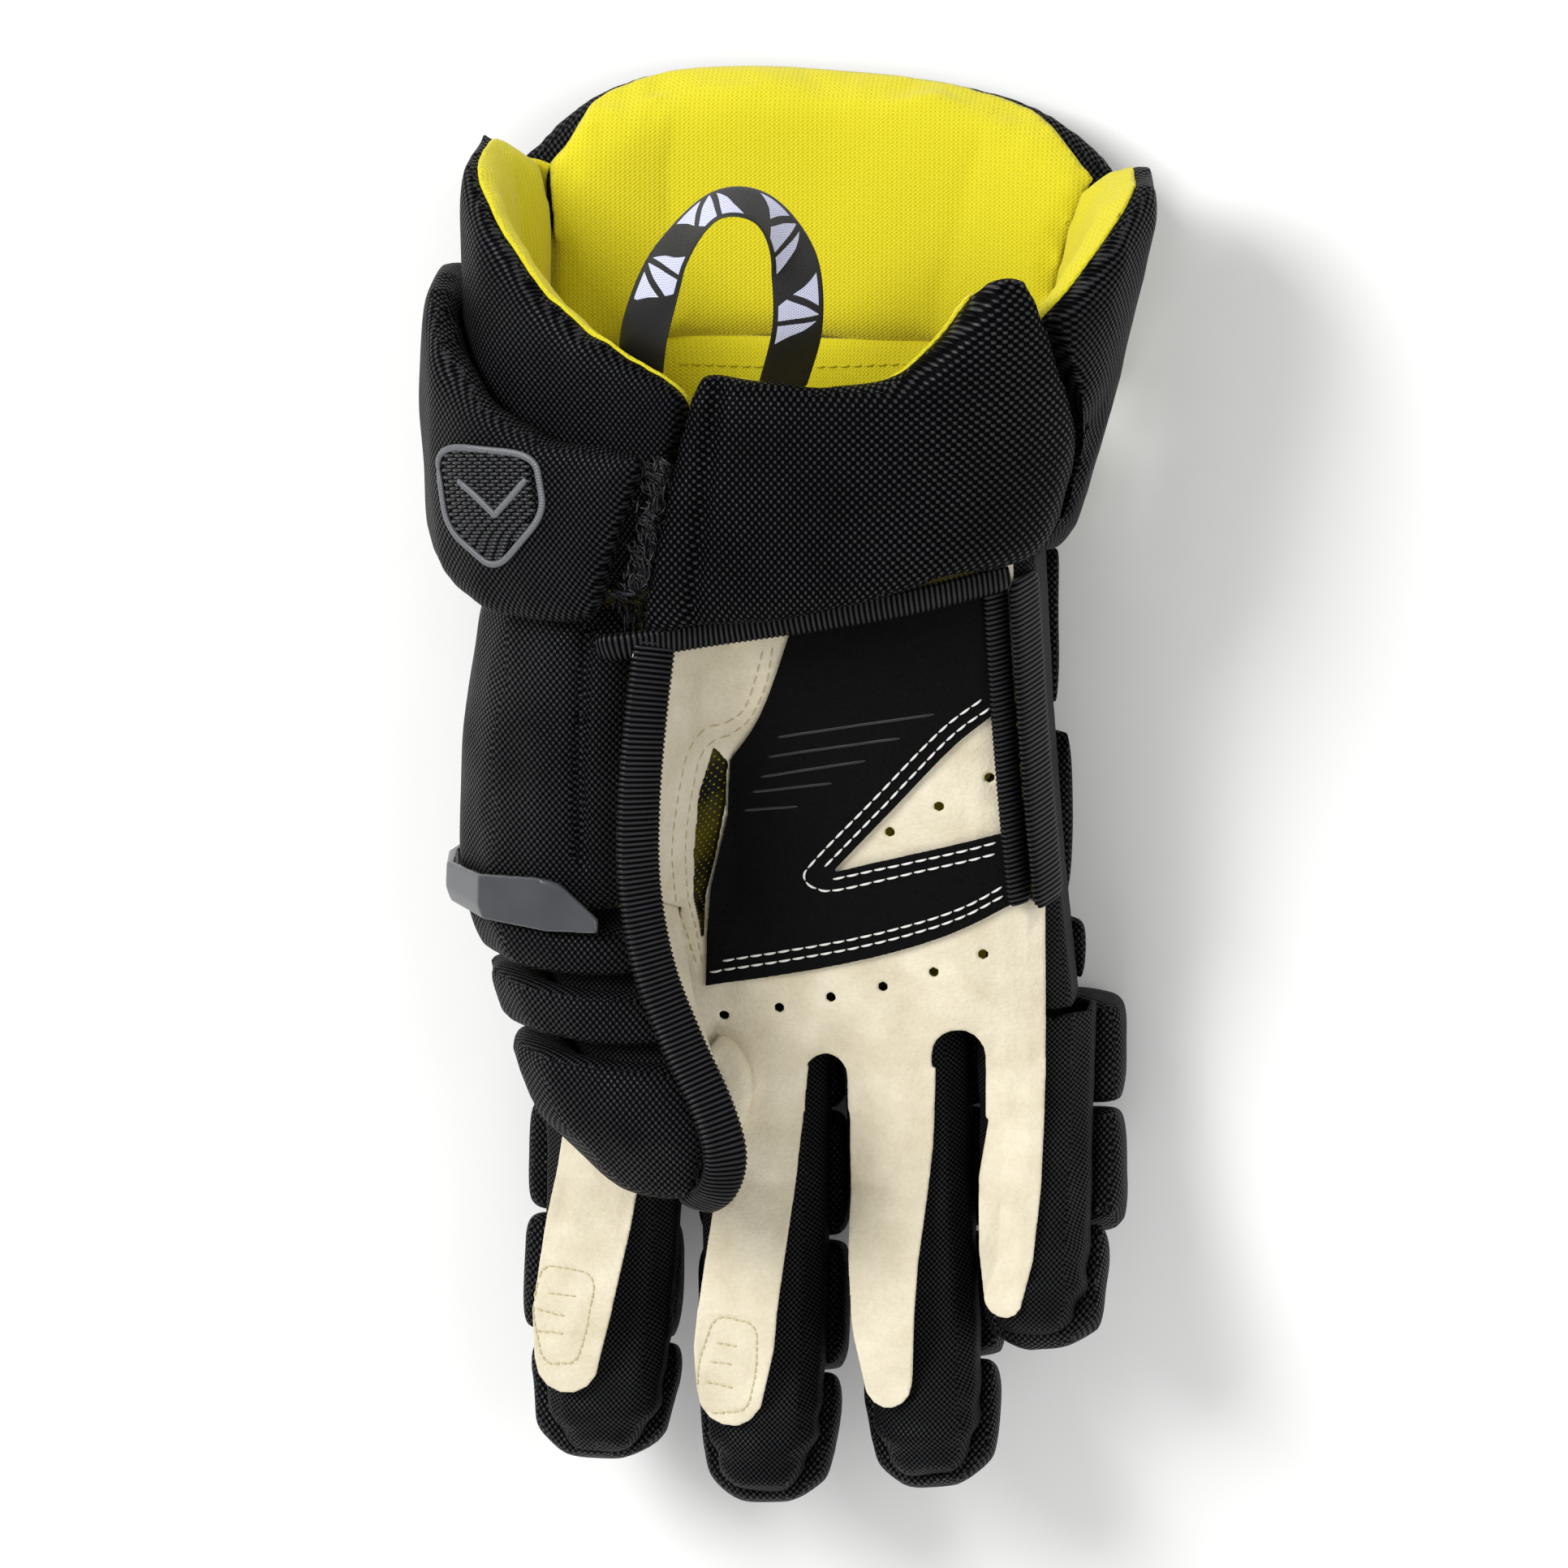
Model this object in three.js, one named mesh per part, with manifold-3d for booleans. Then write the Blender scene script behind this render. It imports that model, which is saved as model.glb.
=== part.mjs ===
// Right-hand ice hockey glove, lying on its back: palm up (+Z), fingers towards -Y, thumb towards -X.
// Padded cuff flaps stand round an open wrist. A leather palm closes the hand, mesh sleeves hold the
// fingers, and foam rolls cover their backs. All lengths are in millimetres.
import * as THREE from "three";
import { mergeVertices } from "three/addons/utils/BufferGeometryUtils.js";
import Module from "manifold-3d";

const wasm = await Module();
wasm.setup();

// Walls and clearances.
const seam = 0.4; // clearance that sewn neighbours keep
const evenness = 0.12; // how far from flat two facets are still one
const leatherWall = 1.3;
const leatherSeat = 1.25; // the palm leather's clearance over the finger sleeves
const overlayWall = 1.1;
const meshWall = 1.6;
const liningWall = 2.2;
const floorPress = 1; // how far the soft back is pressed flat where it rests

// Hand: one row for each station from the knuckles to the wrist.
const rollFoam = 17; // foam thickness of the finger rolls and of the pads on the back
const knuckleLine = -56;
const wristLine = 101.2;
const handSquareness = 4.2; // 2 is an ellipse, and more is boxier
const handRows = [
  { y: -60, left: -63, right: 70, top: 45 },
  { y: -20, left: -65, right: 66, top: 53 },
  { y: 20, left: -66, right: 63, top: 60 },
  { y: 60, left: -66, right: 61, top: 68 },
  { y: 112, left: -66, right: 62, top: 76 },
];
const handFloor = rollFoam - floorPress + liningWall + 2 * seam; // underside of the hand's hollow
const liningRise = 4.5; // how far the back's lining climbs the sides

// Fingers, from the thumb's side. Each sleeve starts at the knuckle line.
const fingerFlare = 1.06; // a sleeve's width at the knuckles over its width further out
const knuckleLeft = -62;
const fingers = [
  { name: "index", width: 35, depth: 27, reach: 109, rise: 23, drift: -1.5, rolls: 4, shift: -4 },
  { name: "middle", width: 33, depth: 27, reach: 117, rise: 26, drift: 3, rolls: 4, shift: 0 },
  { name: "ring", width: 31.5, depth: 26.5, reach: 111, rise: 27, drift: 10, rolls: 4, shift: 0.5 },
  { name: "little", width: 29, depth: 26, reach: 73, rise: 30, drift: 3, rolls: 3, shift: 3.5 },
];
const fingerCurl = 2.4; // the power by which a finger rises towards its tip
const sleeveRows = [
  { along: 0, size: fingerFlare },
  { along: 0.38, size: 0.99 },
  { along: 0.58, size: 0.97 },
  { along: 0.76, size: 0.94 },
  { along: 0.9, size: 0.83 },
  { along: 0.97, size: 0.6 },
  { along: 1, size: 0.34 },
];
const rollSpread = 3; // how far a roll stands out past its sleeve on each side
const rollGap = 1.2; // the crease between two rolls
const tipFoam = 9; // foam thickness of the last roll, round the fingertip

// Leather strips under the fingers: edges are shares of the sleeve's half width.
const stripRows = {
  index: [
    { along: 0.12, from: -0.57, to: 0.84 },
    { along: 0.28, from: -0.62, to: 0.55 },
    { along: 0.5, from: -0.82, to: 0.4 },
    { along: 0.68, from: -0.9, to: 0.22 },
    { along: 0.79, from: -0.86, to: 0.06 },
  ],
  middle: [
    { along: 0.12, from: -0.55, to: 0.78 },
    { along: 0.28, from: -0.52, to: 0.64 },
    { along: 0.5, from: -0.72, to: 0.46 },
    { along: 0.7, from: -0.9, to: 0.3 },
    { along: 0.79, from: -0.88, to: 0.14 },
  ],
  ring: [
    { along: 0.12, from: -0.78, to: 0.6 },
    { along: 0.3, from: -0.84, to: 0.48 },
    { along: 0.54, from: -0.92, to: 0.18 },
    { along: 0.7, from: -0.9, to: 0.04 },
    { along: 0.8, from: -0.82, to: -0.06 },
  ],
  little: [
    { along: 0.14, from: -0.72, to: 0.28 },
    { along: 0.36, from: -0.72, to: 0.24 },
    { along: 0.55, from: -0.9, to: 0.2 },
    { along: 0.78, from: -0.9, to: 0.08 },
    { along: 0.9, from: -0.8, to: -0.1 },
  ],
};

// Thumb: the hollow's axis, and the pad's outline as its left, right, lowest and highest reach.
const thumbHollowWidth = 31;
const thumbHollowDepth = 27;
const thumbRows = [
  { y: 66, x: -42, z: 50, size: 1 },
  { y: 10, x: -43, z: 58, size: 1.04 },
  { y: -20, x: -42, z: 63, size: 1.04 },
  { y: -48, x: -35, z: 71, size: 1 },
  { y: -68, x: -26, z: 78, size: 0.94 },
  { y: -80, x: -20.5, z: 81, size: 0.82 },
  { y: -87, x: -17.5, z: 82, size: 0.5 },
];
const thumbSleeveStart = -24;
const thumbPadStart = 51;
const thumbPadLength = 145;
const thumbPadRows = [
  { along: -0.007, left: -74, right: -27, low: 21, high: 86 },
  { along: 0.283, left: -79, right: -30, low: 17, high: 90 },
  { along: 0.517, left: -80, right: -29.5, low: 19, high: 91 },
  { along: 0.6, left: -75, right: -27, low: 22, high: 93 },
  { along: 0.697, left: -69, right: -21, low: 32, high: 96 },
  { along: 0.793, left: -64, right: -13, low: 46, high: 100 },
  { along: 0.876, left: -57, right: -9, low: 56, high: 102 },
  { along: 0.945, left: -46, right: -10, low: 65, high: 99 },
  { along: 1, left: -34, right: -14, low: 74, high: 94 },
];
// The pad's section, as shares of its width from the left and of its height from the floor side.
const thumbSection = [
  { across: 1, up: 0.84 },
  { across: 0.96, up: 0.95 },
  { across: 0.8, up: 1 },
  { across: 0.55, up: 0.99 },
  { across: 0.24, up: 0.84 },
  { across: 0.04, up: 0.6 },
  { across: 0, up: 0.4 },
  { across: 0.06, up: 0.16 },
  { across: 0.24, up: 0.02 },
  { across: 0.5, up: 0.04 },
  { across: 0.8, up: 0.25 },
  { across: 0.97, up: 0.5 },
];
const thumbPieces = [
  { name: "thumb_base_pad", start: 0, end: 0.524 },
  { name: "thumb_roll_1", start: 0.524, end: 0.628 },
  { name: "thumb_roll_2", start: 0.628, end: 0.738 },
  { name: "thumb_tip_pad", start: 0.738, end: 1 },
].map(({ name, start, end }) => ({
  name,
  from: thumbPadStart - start * thumbPadLength - (start > 0 ? rollGap : 0),
  to: thumbPadStart - end * thumbPadLength,
}));

// Cuff: the flaps' inner face is a ring that widens from the wrist to the rim.
const cuffWrist = { y: 60, x: -3.5, z: 49, halfWidth: 61.5, halfHeight: 31.5 };
const cuffRim = { y: 150, x: 6, z: 50.5, halfWidth: 74.5, halfHeight: 35.5 };
const cuffRoundness = 0.82;
const cuffFoam = 14;
const wrapFoam = 12.5;
const underWrapFoam = 9;
const cuffLiningInset = 3;

const bindingWidth = 8;
const bindingDepth = 3.2;
const loopWidth = 11;
const loopThick = 1.1;

// Small helpers.
const v = (x, y, z) => new THREE.Vector3(x, y, z);
const lerp = THREE.MathUtils.lerp;
const smooth = (x, from, to) => THREE.MathUtils.smoothstep((x - from) / (to - from), 0, 1);
const power = (x, p) => Math.sign(x) * Math.abs(x) ** p;

// The row of a table at a value of its key column, each column running straight between two rows.
function rowAt(rows, key, value) {
  const rising = rows[rows.length - 1][key] > rows[0][key];
  const past = rows.findIndex((r) => (rising ? r[key] >= value : r[key] <= value));
  const b = rows[past < 0 ? rows.length - 1 : Math.max(past, 1)];
  const a = rows[rows.indexOf(b) - 1];
  const t = THREE.MathUtils.clamp((value - a[key]) / (b[key] - a[key]), 0, 1);
  return Object.fromEntries(Object.keys(a).map((k) => [k, lerp(a[k], b[k], t)]));
}

// A closed solid from points and triangles, turned so that its faces point out.
function solidFrom(points, faces) {
  const volume = faces.reduce(
    (sum, [a, b, c]) => sum + points[a].dot(points[b].clone().cross(points[c])),
    0,
  );
  const outward = volume < 0 ? faces.map(([a, b, c]) => [a, c, b]) : faces;
  return new wasm.Manifold(
    new wasm.Mesh({
      numProp: 3,
      vertProperties: new Float32Array(points.flatMap((p) => p.toArray())),
      triVerts: new Uint32Array(outward.flat()),
    }),
  );
}

// A skin over a row of equal rings, closed at both ends.
function loft(rings) {
  const n = rings[0].length;
  const points = rings.flat();
  const faces = [];
  for (let k = 0; k + 1 < rings.length; k++) {
    for (let i = 0; i < n; i++) {
      const j = (i + 1) % n;
      faces.push([k * n + i, k * n + j, k * n + n + j], [k * n + i, k * n + n + j, k * n + n + i]);
    }
  }
  [0, rings.length - 1].forEach((k, end) => {
    const middle = points.length;
    points.push(rings[k].reduce((sum, p) => sum.add(p), v(0, 0, 0)).divideScalar(n));
    for (let i = 0; i < n; i++) {
      const edge = [k * n + i, k * n + ((i + 1) % n)];
      faces.push(end ? [edge[0], edge[1], middle] : [edge[1], edge[0], middle]);
    }
  });
  return solidFrom(points, faces);
}

// One ring of a loft: a rounded box across two directions. roundness 1 is an ellipse.
function ring(at, wide, deep, halfWidth, halfDepth, roundness = 1, sides = 16) {
  return Array.from({ length: sides }, (_, i) => {
    const turn = ((i + 0.5) / sides) * 2 * Math.PI;
    return at
      .clone()
      .addScaledVector(wide, halfWidth * power(Math.cos(turn), roundness))
      .addScaledVector(deep, halfDepth * power(Math.sin(turn), roundness));
  });
}

// A form as a closed solid, ready for joining and cutting.
function solidOf(geometry) {
  const bare = geometry.clone();
  bare.deleteAttribute("normal");
  bare.deleteAttribute("uv");
  const merged = mergeVertices(bare, 1e-4);
  return new wasm.Manifold(
    new wasm.Mesh({
      numProp: 3,
      vertProperties: merged.attributes.position.array,
      triVerts: new Uint32Array(merged.index.array),
    }),
  );
}

// An upright prism over a flat outline, from z = low to z = high.
function prism(shape, low = -20, high = 160, steps = 8) {
  const body = new THREE.ExtrudeGeometry(shape, {
    depth: high - low,
    bevelEnabled: false,
    curveSegments: steps,
  });
  return solidOf(body.translate(0, 0, low));
}

// An upright-sided block between two corners.
function block(low, high) {
  const size = high.clone().sub(low);
  const middle = high.clone().add(low).divideScalar(2);
  const box = new THREE.BoxGeometry(size.x, size.y, size.z);
  return solidOf(box.translate(middle.x, middle.y, middle.z));
}

const far = 300;
const belowFloor = block(v(-far, -far, -far), v(far, far, 0));

// Cuts a solid clear of others. Each is given as a function of how far it is grown.
function clearOf(solid, ...others) {
  return others.reduce((rest, grown) => rest.subtract(grown(seam)), solid);
}

// Fingers: each one's place along the knuckles follows from the widths before it.
fingers.reduce((left, finger) => {
  const baseWidth = finger.width * fingerFlare;
  finger.x = left + baseWidth / 2;
  return left + baseWidth + seam;
}, knuckleLeft);

const sleeveFloor = rollFoam - floorPress; // underside of the sleeves at the knuckles

function fingerCentre(finger, along) {
  return v(
    finger.x + finger.drift * along ** 1.5,
    knuckleLine - finger.reach * along,
    sleeveFloor + finger.depth / 2 + finger.rise * Math.max(along, 0) ** fingerCurl,
  );
}

// The finger's own axes at a station: out towards the tip, across, and up through the palm side.
function fingerAxes(finger, along) {
  const step = 0.01;
  const out = fingerCentre(finger, along + step)
    .sub(fingerCentre(finger, Math.max(along - step, 0)))
    .normalize();
  const up = v(0, 0, 1).addScaledVector(out, -out.z).normalize();
  return { out, up, across: up.clone().cross(out) };
}

// The solid form of a finger sleeve, grown or shrunk by so much all round.
function fingerForm(finger, grow, start = 0, sides = 10) {
  const rings = sleeveRows.map(({ along, size }) => {
    const { across, up } = fingerAxes(finger, along);
    const centre = fingerCentre(finger, along);
    const halfWidth = (finger.width / 2) * size + grow;
    return ring(centre, across, up, halfWidth, (finger.depth / 2) * size + grow, 0.9, sides);
  });
  const { out } = fingerAxes(finger, 0);
  const { out: tipOut } = fingerAxes(finger, 1);
  rings[0].forEach((p) => p.addScaledVector(out, -start));
  rings[rings.length - 1].forEach((p) => p.addScaledVector(tipOut, grow));
  return loft(rings);
}

function fingerSleeve(finger) {
  return fingerForm(finger, 0).subtract(fingerForm(finger, -meshWall, 5, 8));
}

// Foam rolls on the back of a finger, from the knuckles to the tip.
const rollShares = [
  { along: 0, size: 0.74 },
  { along: 0.22, size: 1 },
  { along: 0.78, size: 1 },
  { along: 1, size: 0.74 },
];

function fingerRoll(finger, index, grow) {
  const gap = rollGap / finger.reach;
  const length = 1.015 / finger.rolls;
  const last = index === finger.rolls - 1;
  const from = 0.02 + index * length;
  const to = from + length - gap;
  const foam = last ? tipFoam : lerp(rollFoam, rollFoam - 3.5, index / finger.rolls);
  const rings = rollShares.map((share) => {
    const along = lerp(from - grow / finger.reach, to + grow / finger.reach, share.along);
    const { across, up } = fingerAxes(finger, along);
    const size = rowAt(sleeveRows, "along", Math.min(along, 1)).size;
    const narrow = last ? lerp(0.95, size, share.along ** 3) : 1;
    const reach = (finger.depth / 2) * Math.min(narrow, 1) + foam * share.size + grow;
    const inner = 1.5 - grow;
    const halfWidth = (finger.width / 2) * narrow + rollSpread * share.size + grow;
    const centre = fingerCentre(finger, along)
      .addScaledVector(up, -(reach + inner) / 2)
      .addScaledVector(across, last ? finger.shift / 3 : finger.shift);
    return ring(centre, across, up, halfWidth, (reach - inner) / 2, 0.62, 8);
  });
  return loft(rings);
}

// The hand's hollow, grown by so much. It is open towards the wrist and the knuckles.
function handSection(y) {
  return { ...rowAt(handRows, "y", y), bottom: handFloor };
}

function handForm(grow, from = knuckleLine - 6, to = wristLine + 14) {
  const stations = [from, -20, 20, 60, to];
  return loft(
    stations.map((y) => {
      const s = handSection(y);
      const centre = v((s.left + s.right) / 2, y, (s.top + s.bottom) / 2);
      const halfWidth = (s.right - s.left) / 2 + grow;
      const halfHeight = (s.top - s.bottom) / 2 + grow;
      return ring(centre, v(1, 0, 0), v(0, 0, 1), halfWidth, halfHeight, 2 / handSquareness, 16);
    }),
  );
}

// Palm surface: the height of the leather's underside over any place on the palm.
const ridgeRise = 27; // how far the leather climbs to the thumb's binding
const ridgeFoot = -11;
const ridgeCrest = -29;

function handTop(x, y) {
  const s = handSection(y);
  const half = (s.right - s.left) / 2;
  const across = Math.min(Math.abs((x - (s.left + s.right) / 2) / half), 0.985);
  const height = (s.top - s.bottom) / 2;
  const crown = (1 - across ** handSquareness) ** (1 / handSquareness);
  const ridge = ridgeRise * smooth(-x, -ridgeFoot, -ridgeCrest) * smooth(y, -42, -14);
  const hollow = 2.2 * Math.exp(-(((x - 15) / 30) ** 2)) * Math.exp(-(((y + 5) / 35) ** 2));
  return s.bottom + height + height * crown + ridge - hollow;
}

// The top of a sleeve over a place. Its rings lean with the finger, so the place is closed in on.
function sleeveTop(finger, x, y) {
  const roundness = 2 / 0.9;
  let along = (knuckleLine - y) / finger.reach;
  let top = v(0, 0, 0);
  for (let pass = 0; pass < 5; pass++) {
    along = THREE.MathUtils.clamp(along, 0, 0.97);
    const { size } = rowAt(sleeveRows, "along", along);
    const centre = fingerCentre(finger, along);
    const across = Math.min(Math.abs(x - centre.x) / ((finger.width / 2) * size), 0.97);
    const height = (finger.depth / 2) * size * (1 - across ** roundness) ** (1 / roundness);
    top = centre.addScaledVector(fingerAxes(finger, along).up, height);
    along += (top.y - y) / finger.reach;
  }
  return top.z;
}

function palmHeight(x, y) {
  const flat = handTop(x, Math.max(y, knuckleLine - 20));
  if (y > knuckleLine) return flat;
  const sleeves = Math.max(...fingers.map((f) => sleeveTop(f, x, y)));
  return Math.max(sleeves, lerp(flat, sleeves, smooth(-y, 4 - knuckleLine, 26 - knuckleLine)));
}

// The palm surface lifted so far along its normal.
function liftedPalm(x, y, distance) {
  const step = 0.5;
  const slopeX = (palmHeight(x + step, y) - palmHeight(x - step, y)) / (2 * step);
  const slopeY = (palmHeight(x, y + step) - palmHeight(x, y - step)) / (2 * step);
  return palmHeight(x, y) + distance * Math.min(Math.hypot(1, slopeX, slopeY), 1.8);
}

// A layer over the palm surface, from one height to another, before it is cut to its outline.
function palmLayer(low, high, xs, ys) {
  const points = [];
  [low, high].forEach((d) =>
    ys.forEach((y) => xs.forEach((x) => points.push(v(x, y, liftedPalm(x, y, d))))),
  );
  const nx = xs.length;
  const ny = ys.length;
  const at = (layer, j, i) => layer * nx * ny + j * nx + i;
  const faces = [];
  const quad = (a, b, c, d) => faces.push([a, b, c], [a, c, d]);
  for (let j = 0; j + 1 < ny; j++) {
    for (let i = 0; i + 1 < nx; i++) {
      quad(at(0, j, i), at(0, j + 1, i), at(0, j + 1, i + 1), at(0, j, i + 1));
      quad(at(1, j, i), at(1, j, i + 1), at(1, j + 1, i + 1), at(1, j + 1, i));
    }
  }
  for (let i = 0; i + 1 < nx; i++) {
    quad(at(0, 0, i), at(0, 0, i + 1), at(1, 0, i + 1), at(1, 0, i));
    quad(at(0, ny - 1, i + 1), at(0, ny - 1, i), at(1, ny - 1, i), at(1, ny - 1, i + 1));
  }
  for (let j = 0; j + 1 < ny; j++) {
    quad(at(0, j + 1, 0), at(0, j, 0), at(1, j, 0), at(1, j + 1, 0));
    quad(at(0, j, nx - 1), at(0, j + 1, nx - 1), at(1, j + 1, nx - 1), at(1, j, nx - 1));
  }
  return solidFrom(points, faces);
}

const range = (from, to, steps) =>
  Array.from({ length: steps + 1 }, (_, i) => lerp(from, to, i / steps));

// Outlines seen from above. The strip under a finger ends in a round tip.
function stripOutline(finger) {
  const edge = (row, side) => {
    const centre = fingerCentre(finger, row.along);
    return new THREE.Vector2(centre.x + (row[side] * finger.width) / 2, centre.y);
  };
  const rows = stripRows[finger.name];
  const last = rows[rows.length - 1];
  const left = rows.map((row) => edge(row, "from"));
  const right = rows.map((row) => edge(row, "to")).reverse();
  const middle = edge(last, "from").add(edge(last, "to")).divideScalar(2);
  const radius = (edge(last, "to").x - edge(last, "from").x) / 2;
  const tip = range(0.15, 0.85, 5).map((t) => {
    const turn = Math.PI * (1 + t);
    return new THREE.Vector2(
      middle.x + radius * Math.cos(turn),
      middle.y + radius * 1.1 * Math.sin(turn),
    );
  });
  return new THREE.Shape([...left, ...tip, ...right]);
}

function palmOutline() {
  const shape = new THREE.Shape();
  const webs = [
    { x: 43, y: -66, r: 6.5 },
    { x: 10.2, y: -72.4, r: 5.2 },
    { x: -25, y: -76.5, r: 5 },
  ];
  const hem = -82;
  shape.moveTo(-29, 48);
  shape.lineTo(57.5, 60);
  shape.lineTo(57.6, 16);
  shape.lineTo(60, -25);
  shape.lineTo(64.2, -27);
  shape.lineTo(64.2, hem);
  webs.forEach(({ x, y, r }) => {
    shape.lineTo(x + r, hem);
    shape.absarc(x, y, r, 0, Math.PI, false);
    shape.lineTo(x - r, hem);
  });
  shape.lineTo(-53, hem);
  shape.lineTo(-56, -62);
  shape.lineTo(-52, -52);
  shape.lineTo(-38, -43);
  shape.lineTo(-31, -31);
  shape.lineTo(-31, 20);
  return shape;
}

// The slit between palm and thumb, where the gusset shows.
const slit = [
  { x: -14.3, y: 13 },
  { x: -11.6, y: 8.5 },
  { x: -12.2, y: -2 },
  { x: -14.6, y: -15 },
  { x: -17.4, y: -26 },
  { x: -19, y: -40 },
  { x: -19.6, y: -26 },
  { x: -18.6, y: -12 },
  { x: -17.4, y: 2 },
];

const ventRadius = 1.3;
const vents = [
  { x: -14.4, y: -57.5 },
  { x: -0.7, y: -55 },
  { x: 12, y: -51.9 },
  { x: 24.8, y: -48.8 },
  { x: 37.3, y: -44.6 },
  { x: 49.4, y: -39.6 },
  { x: 27.2, y: -8.9 },
  { x: 39.3, y: -1.9 },
  { x: 51.5, y: 5.5 },
];

const palmXs = [-66, -60, -54, -47, -40, -34, -29, -25, -21, -16, -10, -3, 4, 10, 16, 23, 30, 37]
  .concat([44, 49, 54.5, 60, 66, 73, 82]);
const palmYs = [64, 40, 12, -12, -24, -36, -48, -58, -70, -84, -99, -114, -129, -142, -152, -164];

function palmLeather() {
  const layer = palmLayer(leatherSeat, leatherSeat + leatherWall, palmXs, palmYs.toReversed());
  const strips = fingers.map((finger) => prism(stripOutline(finger)));
  const outline = strips.reduce((all, strip) => all.add(strip), prism(palmOutline(), -20, 160, 5));
  const slitShape = new THREE.Shape(slit.map(({ x, y }) => new THREE.Vector2(x, y)));
  const holes = vents.map(({ x, y }) => {
    const pin = new THREE.CylinderGeometry(ventRadius, ventRadius, far, 6);
    return solidOf(pin.rotateX(Math.PI / 2).translate(x, y, 0));
  });
  return [prism(slitShape), ...holes].reduce((rest, hole) => rest.subtract(hole), layer.intersect(outline));
}

function overlayOutline() {
  const shape = new THREE.Shape();
  shape.moveTo(7, 49);
  shape.lineTo(56.3, 58);
  shape.lineTo(56.6, 24.5);
  shape.splineThru([
    new THREE.Vector2(44, 14.5),
    new THREE.Vector2(28, -3),
    new THREE.Vector2(13, -19.5),
  ]);
  shape.lineTo(57.2, -7.5);
  shape.lineTo(59, -25);
  shape.splineThru([
    new THREE.Vector2(40, -35),
    new THREE.Vector2(15, -43),
    new THREE.Vector2(-18.5, -49.5),
  ]);
  shape.lineTo(-17.6, -36);
  shape.lineTo(-15.4, -22);
  shape.lineTo(-11.6, -5);
  shape.lineTo(-10.8, 9);
  shape.splineThru([new THREE.Vector2(-2.6, 22), new THREE.Vector2(7, 49)]);
  return shape;
}

function palmOverlay() {
  const low = leatherSeat + leatherWall + seam;
  const xs = palmXs.filter((x) => x >= -24);
  const ys = palmYs.filter((y) => y >= -62);
  return palmLayer(low, low + overlayWall, xs, ys.toReversed()).intersect(
    prism(overlayOutline(), -20, 160, 3),
  );
}

// Thumb.
function thumbForm(grow, from = thumbRows[0].y) {
  const rows = thumbRows.filter((r) => r.y < from - 1);
  const tip = rows[rows.length - 1];
  const rings = [{ ...rowAt(thumbRows, "y", from), y: from }, ...rows].map((r) => {
    const centre = v(r.x, r.y, r.z);
    const halfWidth = (thumbHollowWidth / 2) * r.size + grow;
    const halfDepth = (thumbHollowDepth / 2) * r.size + grow;
    return ring(centre, v(0.97, 0, 0.24), v(-0.24, 0, 0.97), halfWidth, halfDepth, 0.95, 10);
  });
  rings[rings.length - 1].forEach((p) => p.setY(tip.y - grow));
  return loft(rings);
}

function thumbPad({ from, to }, grow) {
  const shares = [0, 0.1, 0.5, 0.9, 1];
  const ends = [0.9, 0.99, 1, 0.99, 0.9];
  const rings = shares.map((share, k) => {
    const y = lerp(from + grow, to - grow, share);
    const r = rowAt(thumbPadRows, "along", (thumbPadStart - y) / thumbPadLength);
    const middle = { x: (r.left + r.right) / 2, z: (r.low + r.high) / 2 };
    const halfWidth = ((r.right - r.left) / 2) * ends[k] + grow;
    const halfHeight = ((r.high - r.low) / 2) * ends[k] + grow;
    return thumbSection.map(({ across, up }) =>
      v(middle.x + (2 * across - 1) * halfWidth, y, middle.z + (2 * up - 1) * halfHeight),
    );
  });
  return loft(rings);
}

function thumbSleeve() {
  const outer = thumbForm(meshWall, thumbSleeveStart);
  return outer.subtract(thumbForm(0, thumbSleeveStart + 8)).subtract(handForm(meshWall + seam));
}

// Bindings and ribbon: a flat rounded section swept along a chosen row of points.
function sweep(points, width, depth, grow = 0, lie = v(0, 0, 1), steps = 14, sides = 8) {
  const curve = new THREE.CatmullRomCurve3(points.map((p) => v(...p)));
  return loft(
    range(0, 1, steps).map((t) => {
      const out = curve.getTangent(t);
      const face = lie.isVector3 ? lie : lie(t);
      const side = face.clone().cross(out).normalize();
      const up = out.clone().cross(side).normalize();
      const end = Math.min(1, 0.82 + 4 * Math.min(t, 1 - t));
      const halfWidth = (width / 2) * end + grow;
      return ring(curve.getPoint(t), side, up, halfWidth, depth / 2 + grow, 0.7, sides);
    }),
  );
}

const thumbBindingRoute = [
  [-27, 46, 89.5],
  [-29, 24, 92.5],
  [-30.5, 4, 93.5],
  [-30.5, -16, 93.5],
  [-27, -36, 94.5],
  [-20, -53, 96.5],
  [-12.5, -68, 99.5],
  [-9, -80, 98],
  [-12, -89.5, 93],
  [-17, -95, 87],
];
const thumbBindingLie = (t) => v(lerp(0.62, 0.5, t), lerp(0, -0.35, t ** 3), 1);
const thumbBinding = (grow) =>
  sweep(thumbBindingRoute, bindingWidth, bindingDepth, grow, thumbBindingLie, 15, 6);

// Cuff: a place on the ring at an angle round the wrist, 0 at the back and 90 at the little finger.
function cuffPlace(around, y, out) {
  const t = (y - cuffWrist.y) / (cuffRim.y - cuffWrist.y);
  const size = (key) => lerp(cuffWrist[key], cuffRim[key], t);
  const turn = THREE.MathUtils.degToRad(around);
  return v(
    size("x") + (size("halfWidth") + out) * power(Math.sin(turn), cuffRoundness),
    y,
    size("z") - (size("halfHeight") + out) * power(Math.cos(turn), cuffRoundness),
  );
}

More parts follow.
